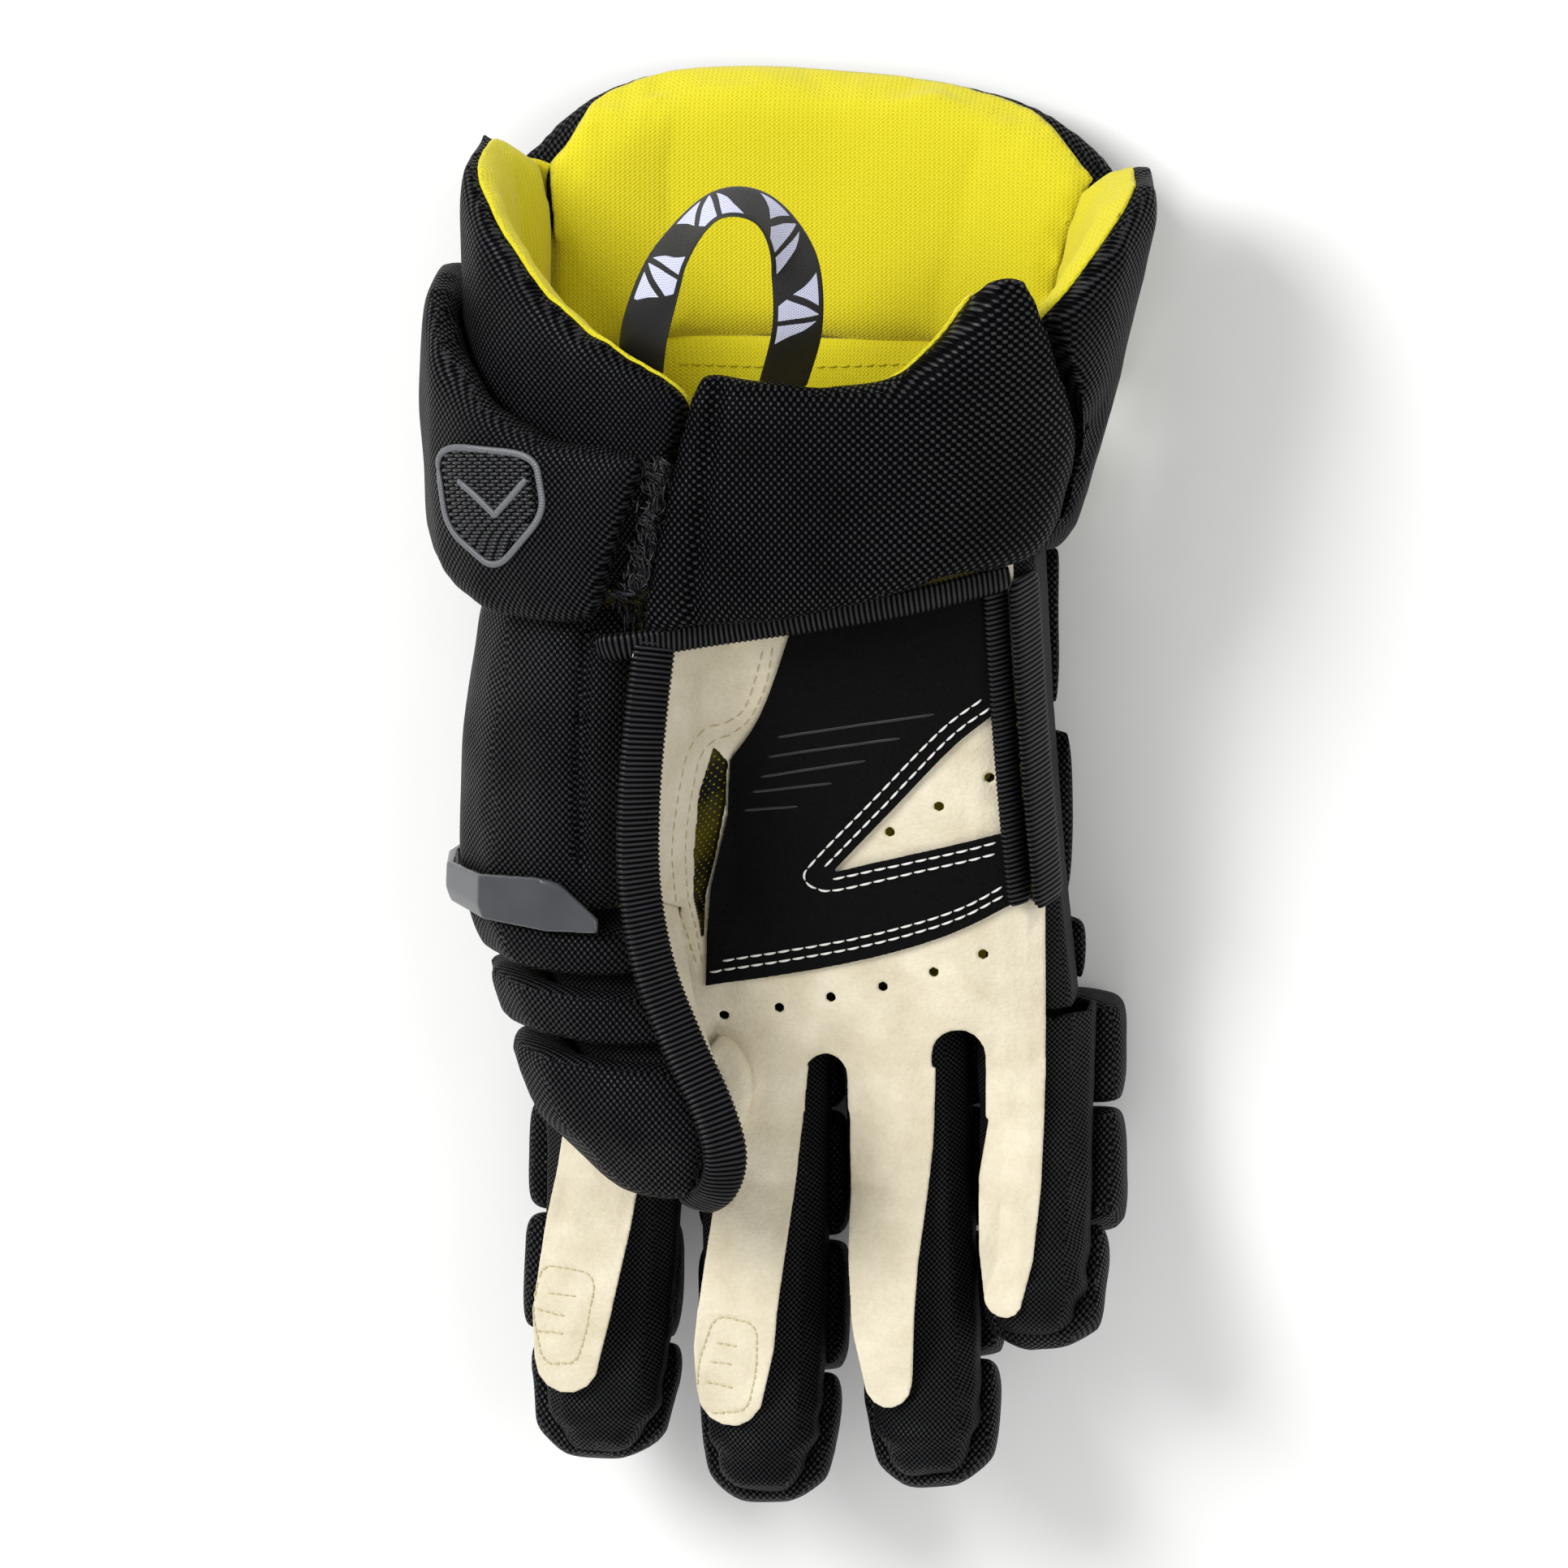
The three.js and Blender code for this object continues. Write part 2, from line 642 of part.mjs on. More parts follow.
// A padded flap: one row for each station round the wrist. Its reach along the arm is in shares of the
// way from the wrist to the rim, and its lift in shares of the cuff's foam.
function cuffFlap(rows, foam, out = 0, grow = 0, inset = 0, sides = 10) {
  const turn = (grow / cuffWrist.halfWidth) * (180 / Math.PI);
  const closed = (row, sign) => ({ ...row, around: row.around + sign * (turn + 1.6), close: 0.62 });
  const first = rows[0];
  const last = rows[rows.length - 1];
  const way = Math.sign(last.around - first.around);
  const all = [closed(first, -way), ...rows, closed(last, way)];
  return loft(
    all.map(({ around, wrist, rim, lift = 0, thin = 1, close = 1, slant = 0 }) => {
      const [low, high] = [wrist, rim].map((share) => lerp(cuffWrist.y, cuffRim.y, share));
      const middle = (low + high) / 2;
      const half = ((high - low) / 2 - inset) * (close < 1 ? 0.95 : 1) + grow;
      const depth = (foam * thin * close) / 2 + grow;
      const centre = out + lift * cuffFoam + (foam * thin) / 2;
      return Array.from({ length: sides }, (_, i) => {
        const a = ((i + 0.5) / sides) * 2 * Math.PI;
        const up = power(Math.cos(a), 0.42);
        const turned = around + (slant * (1 + up)) / 2;
        return cuffPlace(turned, middle + half * up, centre + depth * power(Math.sin(a), 0.75));
      });
    }),
  );
}

const backCuffRows = [
  { around: -58, wrist: 0.433, rim: 1.033 },
  { around: -48, wrist: 0.433, rim: 1.139 },
  { around: -26, wrist: 0.433, rim: 1.233 },
  { around: 0, wrist: 0.433, rim: 1.267 },
  { around: 26, wrist: 0.433, rim: 1.189 },
  { around: 48, wrist: 0.433, rim: 1.072 },
  { around: 58, wrist: 0.433, rim: 0.989 },
];
const outerFlapRows = [
  { around: 57, wrist: 0, rim: 1 },
  { around: 72, wrist: -0.022, rim: 1.039 },
  { around: 92, wrist: -0.022, rim: 1.011 },
  { around: 110, wrist: 0, rim: 0.9 },
  { around: 122, wrist: 0.044, rim: 0.756 },
  { around: 132, wrist: 0.089, rim: 0.644, thin: 0.7 },
];
const thumbFlapRows = [
  { around: -57, wrist: 0, rim: 1.011 },
  { around: -76, wrist: -0.022, rim: 1.1, lift: 0.107 },
  { around: -95, wrist: -0.033, rim: 1.044, lift: 0.143 },
  { around: -115, wrist: -0.033, rim: 0.922, lift: 0.071 },
  { around: -135, wrist: -0.056, rim: 0.767, lift: 0.071 },
  { around: -150, wrist: -0.078, rim: 0.656, lift: 0.143 },
  { around: -163, wrist: -0.1, rim: 0.567, lift: 0.143 },
  { around: -171, wrist: -0.111, rim: 0.489, lift: 0.143 },
];
const palmCuffRows = [
  { around: 104, wrist: 0.067, rim: 0.378, thin: 0.8 },
  { around: 116, wrist: 0.022, rim: 0.489 },
  { around: 128, wrist: 0, rim: 0.667, lift: 0.071 },
  { around: 137, wrist: -0.011, rim: 0.817, lift: 0.143 },
  { around: 144, wrist: -0.022, rim: 0.828, lift: 0.179 },
  { around: 152, wrist: -0.044, rim: 0.689, lift: 0.214 },
  { around: 161, wrist: -0.067, rim: 0.572, lift: 0.214 },
  { around: 174, wrist: -0.111, rim: 0.533, lift: 0.214, slant: -1 },
  { around: 186, wrist: -0.139, rim: 0.544, lift: 0.214, slant: -4 },
  { around: 194, wrist: -0.167, rim: 0.567, lift: 0.214, slant: -7 },
];
const wrapRows = [
  { around: -62, wrist: 0.089, rim: 0.711 },
  { around: -78, wrist: 0.033, rim: 0.756 },
  { around: -96, wrist: -0.044, rim: 0.711 },
  { around: -114, wrist: -0.122, rim: 0.578 },
  { around: -132, wrist: -0.161, rim: 0.456 },
  { around: -147, wrist: -0.167, rim: 0.383, slant: -2 },
  { around: -158, wrist: -0.15, rim: 0.35, slant: -8 },
];
const backCuff = (grow) => cuffFlap(backCuffRows, cuffFoam, 0, grow);
const outerFlap = (grow) => cuffFlap(outerFlapRows, cuffFoam, 0, grow);
const thumbFlap = (grow) => cuffFlap(thumbFlapRows, underWrapFoam, 0, grow);
const palmCuff = (grow) => cuffFlap(palmCuffRows, cuffFoam, 0, grow);
const wrap = (grow) => cuffFlap(wrapRows, wrapFoam, underWrapFoam + seam, grow);
const cuffLining = (rows) => (grow) =>
  cuffFlap(rows, liningWall, -seam - liningWall, grow, cuffLiningInset, 8);
const backCuffLining = cuffLining(backCuffRows);
const thumbSideLining = cuffLining(thumbFlapRows);
const outerSideLining = cuffLining(outerFlapRows.slice(0, 5));
const palmCuffLining = cuffLining(palmCuffRows.slice(4));

const cuffBindingRoute = [
  [-29, 42.5, 86.5],
  [-10, 44.5, 84],
  [12, 48, 82.5],
  [35, 52, 78.5],
  [57, 57, 70.5],
];
const cuffBinding = (grow) =>
  sweep(cuffBindingRoute, 6.5, bindingDepth, grow, v(0, -0.45, 1), 8, 6);

// The two bindings along the little finger's side of the palm lie on the hand's rounded edge.
const edgeWidth = 5;
const edgeDepth = 2.4;

function edgeBinding(turn, width, grow) {
  const angle = THREE.MathUtils.degToRad(turn);
  const lift = meshWall + seam + edgeDepth / 2;
  const onEdge = (y, out) => {
    const s = handSection(y);
    return [
      (s.left + s.right) / 2 + ((s.right - s.left) / 2 + out) * Math.cos(angle) ** (2 / handSquareness),
      y,
      (s.top + s.bottom) / 2 + ((s.top - s.bottom) / 2 + out) * Math.sin(angle) ** (2 / handSquareness),
    ];
  };
  const route = range(56, -26, 4).map((y) => onEdge(y, lift));
  return sweep(route, width, edgeDepth, grow, v(Math.cos(angle), 0, Math.sin(angle)), 6, 6);
}

const palmEdgeBinding = (grow) => edgeBinding(46, edgeWidth, grow);
const sideBinding = (grow) => edgeBinding(24, bindingWidth, grow);

// Pads on the back of the hand: each is a wide roll across it.
const backStart = 97.5;
const backLength = 151.5;
const backGap = 1.5; // the crease between two pads
const backPads = [
  { name: "wrist_pad", start: 0, end: 0.241, left: -62, right: 59 },
  { name: "backhand_pad", start: 0.241, end: 0.551, left: -70, right: 65.5 },
  { name: "knuckle_pad", start: 0.551, end: 0.861, left: -72, right: 69.5 },
  { name: "knuckle_roll", start: 0.861, end: 1, left: -72, right: 73 },
].map(({ start, end, ...pad }) => ({
  ...pad,
  from: backStart - start * backLength - (start > 0 ? backGap : 0),
  to: backStart - end * backLength,
}));
const padShares = [
  { across: 0, lift: 15, size: 0.45 },
  { across: 0.06, lift: 9, size: 0.8 },
  { across: 0.2, lift: 1.5, size: 1 },
  { across: 0.5, lift: 0, size: 1 },
  { across: 0.8, lift: 1.5, size: 1 },
  { across: 0.94, lift: 9, size: 0.8 },
  { across: 1, lift: 15, size: 0.45 },
];

function backPad({ from, to, left, right }, grow) {
  const rings = padShares.map(({ across, lift, size }) => {
    const x = lerp(left - grow, right + grow, across);
    const half = (rollFoam / 2) * size;
    const centre = v(x, (from + to) / 2, rollFoam / 2 - floorPress + lift);
    return ring(centre, v(0, 1, 0), v(0, 0, 1), (from - to) / 2 + grow, half + grow, 0.55, 8);
  });
  return loft(rings);
}

// The lining under the hand's hollow, which shows yellow through the cuff.
function backLining() {
  const shell = handForm(liningWall, knuckleLine + 1, wristLine).subtract(
    handForm(0, knuckleLine - 4, wristLine + 8),
  );
  const below = block(v(-far, -far, 0), v(far, far, handFloor + liningRise));
  return shell.intersect(below);
}

// The mesh wall between the palm's edge and the back of the hand, on the little finger's side.
const gussetEdge = 49; // where the gusset ends under the palm leather

function outerGusset() {
  const shell = handForm(meshWall, knuckleLine + 1, wristLine - 40).subtract(
    handForm(0, knuckleLine - 4, wristLine),
  );
  const side = block(v(gussetEdge, -far, handFloor + liningRise + seam), v(far, far, far));
  const under = palmLayer(-40, leatherSeat - seam, palmXs, palmYs.toReversed());
  return shell.intersect(side).intersect(under);
}

// The mesh gusset behind the slit between palm and thumb.
const gussetWidth = 11;

function thumbGusset() {
  const first = slit[0];
  const last = slit.reduce((a, b) => (b.y < a.y ? b : a));
  const outline = [
    { x: first.x - gussetWidth / 2, y: first.y + gussetWidth / 2 },
    { x: first.x + gussetWidth / 2, y: first.y + gussetWidth / 2 },
    { x: first.x + gussetWidth / 2, y: (first.y + last.y) / 2 },
    { x: last.x + gussetWidth / 2, y: last.y - gussetWidth / 2 },
    { x: last.x - gussetWidth / 2, y: last.y - gussetWidth / 2 },
    { x: last.x - gussetWidth / 4, y: (first.y + last.y) / 2 },
  ];
  const shape = new THREE.Shape(outline.map(({ x, y }) => new THREE.Vector2(x, y)));
  const high = leatherSeat - seam;
  return palmLayer(high - meshWall, high, palmXs, palmYs.toReversed()).intersect(prism(shape));
}

// The moulded badge across the thumb's base pad.
function thumbBadge() {
  const band = (grow) => thumbPad({ from: -8, to: -40 }, grow);
  const shape = new THREE.Shape();
  shape.moveTo(-85, -27.5);
  shape.lineTo(-85, -18.6);
  shape.lineTo(-54, -14.8);
  shape.quadraticCurveTo(-48, -14.6, -45, -18);
  shape.lineTo(-38, -24.2);
  shape.lineTo(-38, -27.5);
  const over = prism(shape, 34, 120);
  return band(2.2 + seam).subtract(band(seam)).intersect(over);
}

// The ribbon loop sewn inside the palm side of the cuff.
const loopRoute = [
  [-27, 110, 79.5],
  [-25.5, 124, 89],
  [-19, 142, 95],
  [-8, 154, 98],
  [4, 152, 97],
  [10, 138, 93],
  [9.5, 120, 87],
  [4, 104, 77.5],
];
const loopLie = (t) => v(lerp(-0.75, 0.8, t), 0.9 * Math.sin(Math.PI * t), 0.75);
const pullLoop = () => sweep(loopRoute, loopWidth, loopThick, 0, loopLie, 18, 6);

// Everything that is made, cut clear of what lies beside it, in its material.
const material = (color, roughness, metalness = 0) =>
  new THREE.MeshStandardMaterial({ color, roughness, metalness });
const blackMesh = material(0x17181a, 0.85);
const paddedMesh = material(0x1b1c1e, 0.8);
const creamSuede = material(0xe3d9bf, 0.9);
const blackSuede = material(0x101011, 0.95);
const yellowKnit = material(0xf2e51c, 0.85);
const blackBraid = material(0x141416, 0.75);
const greyPlastic = material(0x6d6f74, 0.35);

const glove = new THREE.Group();

function addPiece(name, solid, finish) {
  const { numProp, vertProperties, triVerts } = solid.simplify(evenness).getMesh();
  const positions = new Float32Array((vertProperties.length / numProp) * 3);
  for (let i = 0; i < positions.length / 3; i++) {
    positions.set(vertProperties.subarray(i * numProp, i * numProp + 3), i * 3);
  }
  const geometry = new THREE.BufferGeometry();
  geometry.setAttribute("position", new THREE.BufferAttribute(positions, 3));
  geometry.setIndex(new THREE.BufferAttribute(new Uint32Array(triVerts), 1));
  geometry.computeVertexNormals();
  const mesh = new THREE.Mesh(geometry, finish);
  mesh.name = name;
  glove.add(mesh);
}

// The largest body of a solid that a cut has left in pieces.
function mainBody(solid) {
  return solid.decompose().reduce((a, b) => (b.volume() > a.volume() ? b : a));
}

const hollow = (grow) => handForm(Math.max(liningWall, meshWall) + grow);
const thumbHollow = (grow) => thumbForm(meshWall + grow);
const thumbOutside = (grow) => thumbForm(meshWall + grow, thumbSleeveStart);
const overFloor = (solid) => solid.subtract(belowFloor);

// Sleeves and rolls.
fingers.forEach((finger) => addPiece(`${finger.name}_sleeve`, fingerSleeve(finger), blackMesh));
const sleeveForms = fingers.map((finger) => (grow) => fingerForm(finger, grow));
const laidRolls = [];
[...fingers].reverse().forEach((finger) => {
  for (let i = 0; i < finger.rolls; i++) {
    const beside = laidRolls.filter((r) => r.finger !== finger).map((r) => r.form);
    const roll = clearOf(fingerRoll(finger, i, 0), ...sleeveForms, hollow, ...beside);
    laidRolls.push({ finger, form: (grow) => fingerRoll(finger, i, grow) });
    addPiece(`${finger.name}_roll_${i + 1}`, mainBody(overFloor(roll)), paddedMesh);
  }
});

// Back of the hand.
const rollForms = laidRolls.map((r) => r.form);
const thumbPadForms = thumbPieces.map((piece) => (grow) => thumbPad(piece, grow));
addPiece("back_lining", mainBody(clearOf(backLining(), thumbFlap, outerFlap, backCuff)), yellowKnit);
backPads.forEach((pad) => {
  const besides = [hollow, ...sleeveForms, ...rollForms, backCuff, thumbFlap, outerFlap];
  const body = clearOf(backPad(pad, 0), ...besides);
  addPiece(pad.name, mainBody(overFloor(body)), paddedMesh);
});
const backPadForms = backPads.map((pad) => (grow) => backPad(pad, grow));

// Palm.
const aroundPalm = [thumbBinding, palmEdgeBinding, cuffBinding, palmCuff, wrap, thumbFlap];
addPiece(
  "palm_leather",
  mainBody(clearOf(palmLeather(), ...aroundPalm, thumbOutside, ...thumbPadForms, ...sleeveForms)),
  creamSuede,
);
addPiece(
  "palm_overlay",
  mainBody(clearOf(palmOverlay(), ...aroundPalm)),
  blackSuede,
);
addPiece(
  "outer_gusset",
  mainBody(clearOf(outerGusset(), palmEdgeBinding, sideBinding, outerFlap, ...backPadForms, ...rollForms)),
  blackMesh,
);
addPiece("palm_edge_binding", mainBody(clearOf(palmEdgeBinding(0), palmCuff, cuffBinding)), blackBraid);
addPiece(
  "side_binding",
  mainBody(clearOf(sideBinding(0), palmEdgeBinding, palmCuff, outerFlap, cuffBinding, ...backPadForms)),
  blackBraid,
);
addPiece("thumb_gusset", mainBody(clearOf(thumbGusset(), thumbOutside)), blackMesh);

// Thumb.
const underPalm = (grow) =>
  palmLayer(-40, leatherSeat + leatherWall + grow, palmXs, palmYs.toReversed());
addPiece("thumb_sleeve", mainBody(thumbSleeve()), creamSuede);
thumbPieces.forEach((piece) => {
  const hand = [hollow, thumbHollow, thumbBinding, wrap, thumbFlap, ...backPadForms];
  const fingertips = piece.from < knuckleLine + 20 ? [underPalm, ...sleeveForms, ...rollForms] : [];
  const body = clearOf(thumbPad(piece, 0), ...hand, ...fingertips);
  addPiece(piece.name, mainBody(overFloor(body)), paddedMesh);
});
addPiece("thumb_binding", mainBody(clearOf(thumbBinding(0), palmCuff, wrap, cuffBinding)), blackBraid);
const badge = clearOf(thumbBadge(), thumbBinding, ...thumbPadForms.slice(0, 2));
addPiece("thumb_badge", mainBody(badge), greyPlastic);

// Cuff.
addPiece("palm_cuff", mainBody(clearOf(palmCuff(0), cuffBinding)), paddedMesh);
addPiece("thumb_side_cuff", mainBody(clearOf(thumbFlap(0), palmCuff)), paddedMesh);
addPiece("outer_side_cuff", mainBody(overFloor(clearOf(outerFlap(0), palmCuff))), paddedMesh);
addPiece(
  "back_cuff",
  mainBody(overFloor(clearOf(backCuff(0), outerFlap, thumbFlap, wrap))),
  paddedMesh,
);
addPiece("wrist_wrap", mainBody(overFloor(clearOf(wrap(0), palmCuff, thumbFlap))), paddedMesh);
addPiece("cuff_binding", mainBody(clearOf(cuffBinding(0), wrap)), blackBraid);
addPiece("back_cuff_lining", mainBody(clearOf(backCuffLining(0), thumbFlap, outerFlap)), yellowKnit);
addPiece("thumb_side_lining", mainBody(clearOf(thumbSideLining(0), backCuffLining, palmCuff)), yellowKnit);
addPiece("outer_side_lining", mainBody(clearOf(outerSideLining(0), backCuffLining, palmCuff)), yellowKnit);
addPiece(
  "palm_cuff_lining",
  mainBody(clearOf(palmCuffLining(0), outerFlap, thumbFlap, thumbSideLining, outerSideLining)),
  yellowKnit,
);
addPiece("pull_loop", pullLoop(), blackBraid);

// The origin is the middle of the glove's footprint, on the surface that it lies on.
const reach = new THREE.Box3().setFromObject(glove);
const middle = reach.getCenter(v(0, 0, 0));
glove.position.set(-middle.x, -middle.y, -reach.min.z);

export default glove;
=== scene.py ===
# Right-hand ice hockey glove, lying on its back with the palm up.
import math

import bmesh
import bpy
import numpy as np
from mathutils import Matrix, Vector, noise
from mathutils.bvhtree import BVHTree


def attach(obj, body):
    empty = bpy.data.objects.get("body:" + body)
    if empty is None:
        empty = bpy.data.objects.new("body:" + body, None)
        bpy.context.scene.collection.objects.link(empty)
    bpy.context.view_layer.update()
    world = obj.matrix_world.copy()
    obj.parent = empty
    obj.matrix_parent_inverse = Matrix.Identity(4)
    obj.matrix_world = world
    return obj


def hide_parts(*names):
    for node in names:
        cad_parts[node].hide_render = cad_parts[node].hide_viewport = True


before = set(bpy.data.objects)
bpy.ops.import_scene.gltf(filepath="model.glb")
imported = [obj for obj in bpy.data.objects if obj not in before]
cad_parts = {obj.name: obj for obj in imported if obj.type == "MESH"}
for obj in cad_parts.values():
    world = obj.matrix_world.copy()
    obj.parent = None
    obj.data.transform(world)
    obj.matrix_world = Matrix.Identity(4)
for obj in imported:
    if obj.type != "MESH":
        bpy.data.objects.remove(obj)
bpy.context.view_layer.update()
bpy.ops.object.select_all(action="DESELECT")

# --- Camera and studio ---------------------------------------------------------------------------
# The glove is seen from above its palm, a little from the cuff and from the little finger's side,
# through a long lens. It lies on plain pale paper under two soft boxes and a bright sky of card.
MM = 0.001
GLOVE_SHIFT = (-1.78, 4.07)  # from the glove's own frame to the row frame, in mm


def place(points):
    """Points in the glove's own frame, in mm, as points in the row frame, in metres."""
    return [Vector(((x + GLOVE_SHIFT[0]) * MM, (y + GLOVE_SHIFT[1]) * MM, z * MM)) for x, y, z in points]


LOOK_AT = place([(0, 0, 45)])[0]
VIEW_WIDTH = 0.3803
CAMERA_AWAY = 2.0
PICTURE = 1932  # pixels along a side of the picture
PIXEL = VIEW_WIDTH / MM / PICTURE  # mm
TO_OUTER_SIDE, TO_CUFF = math.radians(8), math.radians(12)  # how far the camera leans
toward = Vector((
    math.sin(TO_OUTER_SIDE) * math.cos(TO_CUFF),
    math.cos(TO_OUTER_SIDE) * math.sin(TO_CUFF),
    math.cos(TO_OUTER_SIDE) * math.cos(TO_CUFF),
)).normalized()
upward = (Vector((0, 1, 0)) - toward * toward.y).normalized()
bpy.ops.object.camera_add()
camera = bpy.context.object
camera.matrix_world = Matrix.Translation(LOOK_AT + toward * CAMERA_AWAY) @ Matrix(
    (upward.cross(toward), upward, toward)
).transposed().to_4x4()
camera.data.sensor_width = 36
camera.data.lens = 36 * CAMERA_AWAY / VIEW_WIDTH
bpy.context.scene.camera = camera
bpy.context.scene.view_settings.view_transform = "Standard"


def colour(hex_code):
    """An sRGB hex value as linear red, green, blue and alpha."""
    parts = [int(hex_code[i:i + 2], 16) / 255 for i in (0, 2, 4)]
    return [p / 12.92 if p <= 0.04045 else ((p + 0.055) / 1.055) ** 2.4 for p in parts] + [1.0]


def feed(tree, made, inputs):
    """Gives a shader node its inputs. Each is a value, or an output of another node."""
    for key, value in inputs.items():
        if isinstance(value, bpy.types.NodeSocket):
            tree.links.new(value, made.inputs[key])
        else:
            made.inputs[key].default_value = value


def node(tree, kind, inputs, **settings):
    """Adds a shader node with its settings and its inputs."""
    made = tree.nodes.new(kind)
    for key, value in settings.items():
        setattr(made, key, value)
    feed(tree, made, inputs)
    return made


def new_material(name):
    """A material with an empty tree, and its Principled shader and output."""
    made = bpy.data.materials.new(name)
    made.use_nodes = True
    tree = made.node_tree
    tree.nodes.clear()
    shader = node(tree, "ShaderNodeBsdfPrincipled", {})
    node(tree, "ShaderNodeOutputMaterial", {"Surface": shader.outputs[0]})
    return made, tree, shader


def two_toned(name, scale, detail, dark, light, roughness=0.6, **more):
    """A material whose colour wanders between two tones, with its tree, its shader and its grain."""
    made, tree, shader = new_material(name)
    where = node(tree, "ShaderNodeTexCoord", {}).outputs["Object"]
    grain = node(tree, "ShaderNodeTexNoise", {"Vector": where, "Scale": scale, "Detail": detail, **more})
    tones = {0: grain.outputs["Fac"], 6: colour(dark), 7: colour(light)}
    mixed = node(tree, "ShaderNodeMix", tones, data_type="RGBA")
    feed(tree, shader, {"Base Color": mixed.outputs[2], "Roughness": roughness})
    return made, tree, shader, grain


def soft_box(name, at, size, watts):
    """A square soft box that faces the glove."""
    bpy.ops.object.light_add(type="AREA")
    lamp = bpy.context.object
    lamp.name = name
    lamp.data.size = size
    lamp.data.energy = watts
    away = (Vector(at) - LOOK_AT).normalized()
    side = Vector((0, 0, 1)).cross(away).normalized()
    turned = Matrix((side, away.cross(side), away)).transposed().to_4x4()
    lamp.matrix_world = Matrix.Translation(Vector(at)) @ turned


soft_box("key_box", (-0.8, 0.7, 1.1), 0.6, 19)
soft_box("fill_box", (0.95, 0.25, 1.2), 1.0, 6)
soft_box("foot_box", (-0.1, -1.2, 0.8), 0.8, 5)
world = bpy.data.worlds.new("studio")
bpy.context.scene.world = world
world.use_nodes = True
world.node_tree.nodes["Background"].inputs["Color"].default_value = (1, 1, 1, 1)
world.node_tree.nodes["Background"].inputs["Strength"].default_value = 0.44

bpy.ops.mesh.primitive_plane_add(size=6, location=(0, 0, -0.0004))
floor = bpy.context.object
floor.name = "paper_floor"
floor.data.transform(floor.matrix_world)
floor.matrix_world = Matrix.Identity(4)
paper, tree, shader = new_material("matt_white_paper")
where = node(tree, "ShaderNodeTexCoord", {}).outputs["Object"]
grain = node(tree, "ShaderNodeTexNoise", {"Vector": where, "Scale": 400})
bump = node(tree, "ShaderNodeBump", {"Height": grain.outputs["Fac"], "Strength": 0.05, "Distance": 0.0002})
feed(tree, shader, {"Base Color": colour("F6F6F5"), "Roughness": 0.85, "Normal": bump.outputs[0]})
floor.data.materials.append(paper)


# --- Black padded mesh ---------------------------------------------------------------------------
# The pads are foam wrapped in a knitted spacer mesh of black polyester. Its holes lie in staggered
# rows and are painted near black, as painted shade inside them, and the threads between them catch
# the light in small bright dashes, lighter than the holes. The palm flap's mesh is coarser. Both are
# drawn a little coarser than life, so that the holes still show in the picture.
def crossed_waves(tree, spot, across, along):
    """The two axes of a spot on the cloth, a wave of so many mm on each, and the waves' product."""
    axes = node(tree, "ShaderNodeSeparateXYZ", {0: spot})
    waves = []
    for axis, pitch in zip(axes.outputs, (across, along)):
        turn = node(tree, "ShaderNodeMath", {0: axis, 1: 2 * math.pi / (pitch * MM)}, operation="MULTIPLY")
        waves.append(node(tree, "ShaderNodeMath", {0: turn.outputs[0]}, operation="COSINE"))
    ends = {0: waves[0].outputs[0], 1: waves[1].outputs[0]}
    return axes, waves, node(tree, "ShaderNodeMath", ends, operation="MULTIPLY")


def knit_mesh(name, across, along, depth, thread, shaded_hole, shine, gleam, closed=(-0.75, 0.55)):
    """A knitted mesh on UV in metres: staggered holes, across by along in mm, with threads between them."""
    made, tree, shader = new_material(name)
    uv = node(tree, "ShaderNodeUVMap", {}, uv_map="cloth")
    wander = node(tree, "ShaderNodeTexNoise", {"Vector": uv.outputs[0], "Scale": 120, "Detail": 2})
    bent = node(
        tree, "ShaderNodeVectorMath", {0: wander.outputs["Color"], 1: (0.5, 0.5, 0.5)}, operation="SUBTRACT",
    )
    bent = node(tree, "ShaderNodeVectorMath", {0: bent.outputs[0], "Scale": 0.0007}, operation="SCALE")
    spot = node(tree, "ShaderNodeVectorMath", {0: uv.outputs[0], 1: bent.outputs[0]}, operation="ADD")
    lattice = crossed_waves(tree, spot.outputs[0], across, along)[2]
    height_and_shade = node(tree, "ShaderNodeMapRange", {
        "Value": lattice.outputs[0], "From Min": closed[0], "From Max": closed[1],
    }, interpolation_type="SMOOTHSTEP")
    fibre = node(tree, "ShaderNodeTexNoise", {"Vector": uv.outputs[0], "Scale": 2600, "Detail": 1})
    patchy = node(tree, "ShaderNodeTexNoise", {"Vector": uv.outputs[0], "Scale": 45, "Detail": 3})
    worn = node(tree, "ShaderNodeMapRange", {
        "Value": patchy.outputs["Fac"], "From Min": 0.3, "From Max": 0.75, "To Min": 0.75, "To Max": 1.15,
    })
    # The share of thread against the holes' painted shade: the holes are painted darker than the threads.
    thread_or_shade = node(tree, "ShaderNodeMath", {0: height_and_shade.outputs[0], 1: worn.outputs[0]}, operation="MULTIPLY")
    tint = node(
        tree, "ShaderNodeMix", {0: thread_or_shade.outputs[0], 6: colour(shaded_hole), 7: colour(thread)}, data_type="RGBA",
    )
    rough = node(tree, "ShaderNodeMapRange", {
        "Value": fibre.outputs["Fac"], "From Min": 0.3, "From Max": 0.7,
        "To Min": shine, "To Max": shine + 0.22,
    })
    rise = node(
        tree, "ShaderNodeMath", {0: fibre.outputs["Fac"], 1: 0.18, 2: height_and_shade.outputs[0]},
        operation="MULTIPLY_ADD",
    )
    bump = node(tree, "ShaderNodeBump", {"Height": rise.outputs[0], "Strength": 1.0, "Distance": depth * MM})
    glint = node(tree, "ShaderNodeMapRange", {
        "Value": thread_or_shade.outputs[0], "From Min": 0.3, "To Min": 0.02, "To Max": gleam,
    })
    feed(tree, shader, {
        "Base Color": tint.outputs[2], "Roughness": rough.outputs[0],
        "Specular IOR Level": glint.outputs[0], "Normal": bump.outputs[0],
    })
    return made
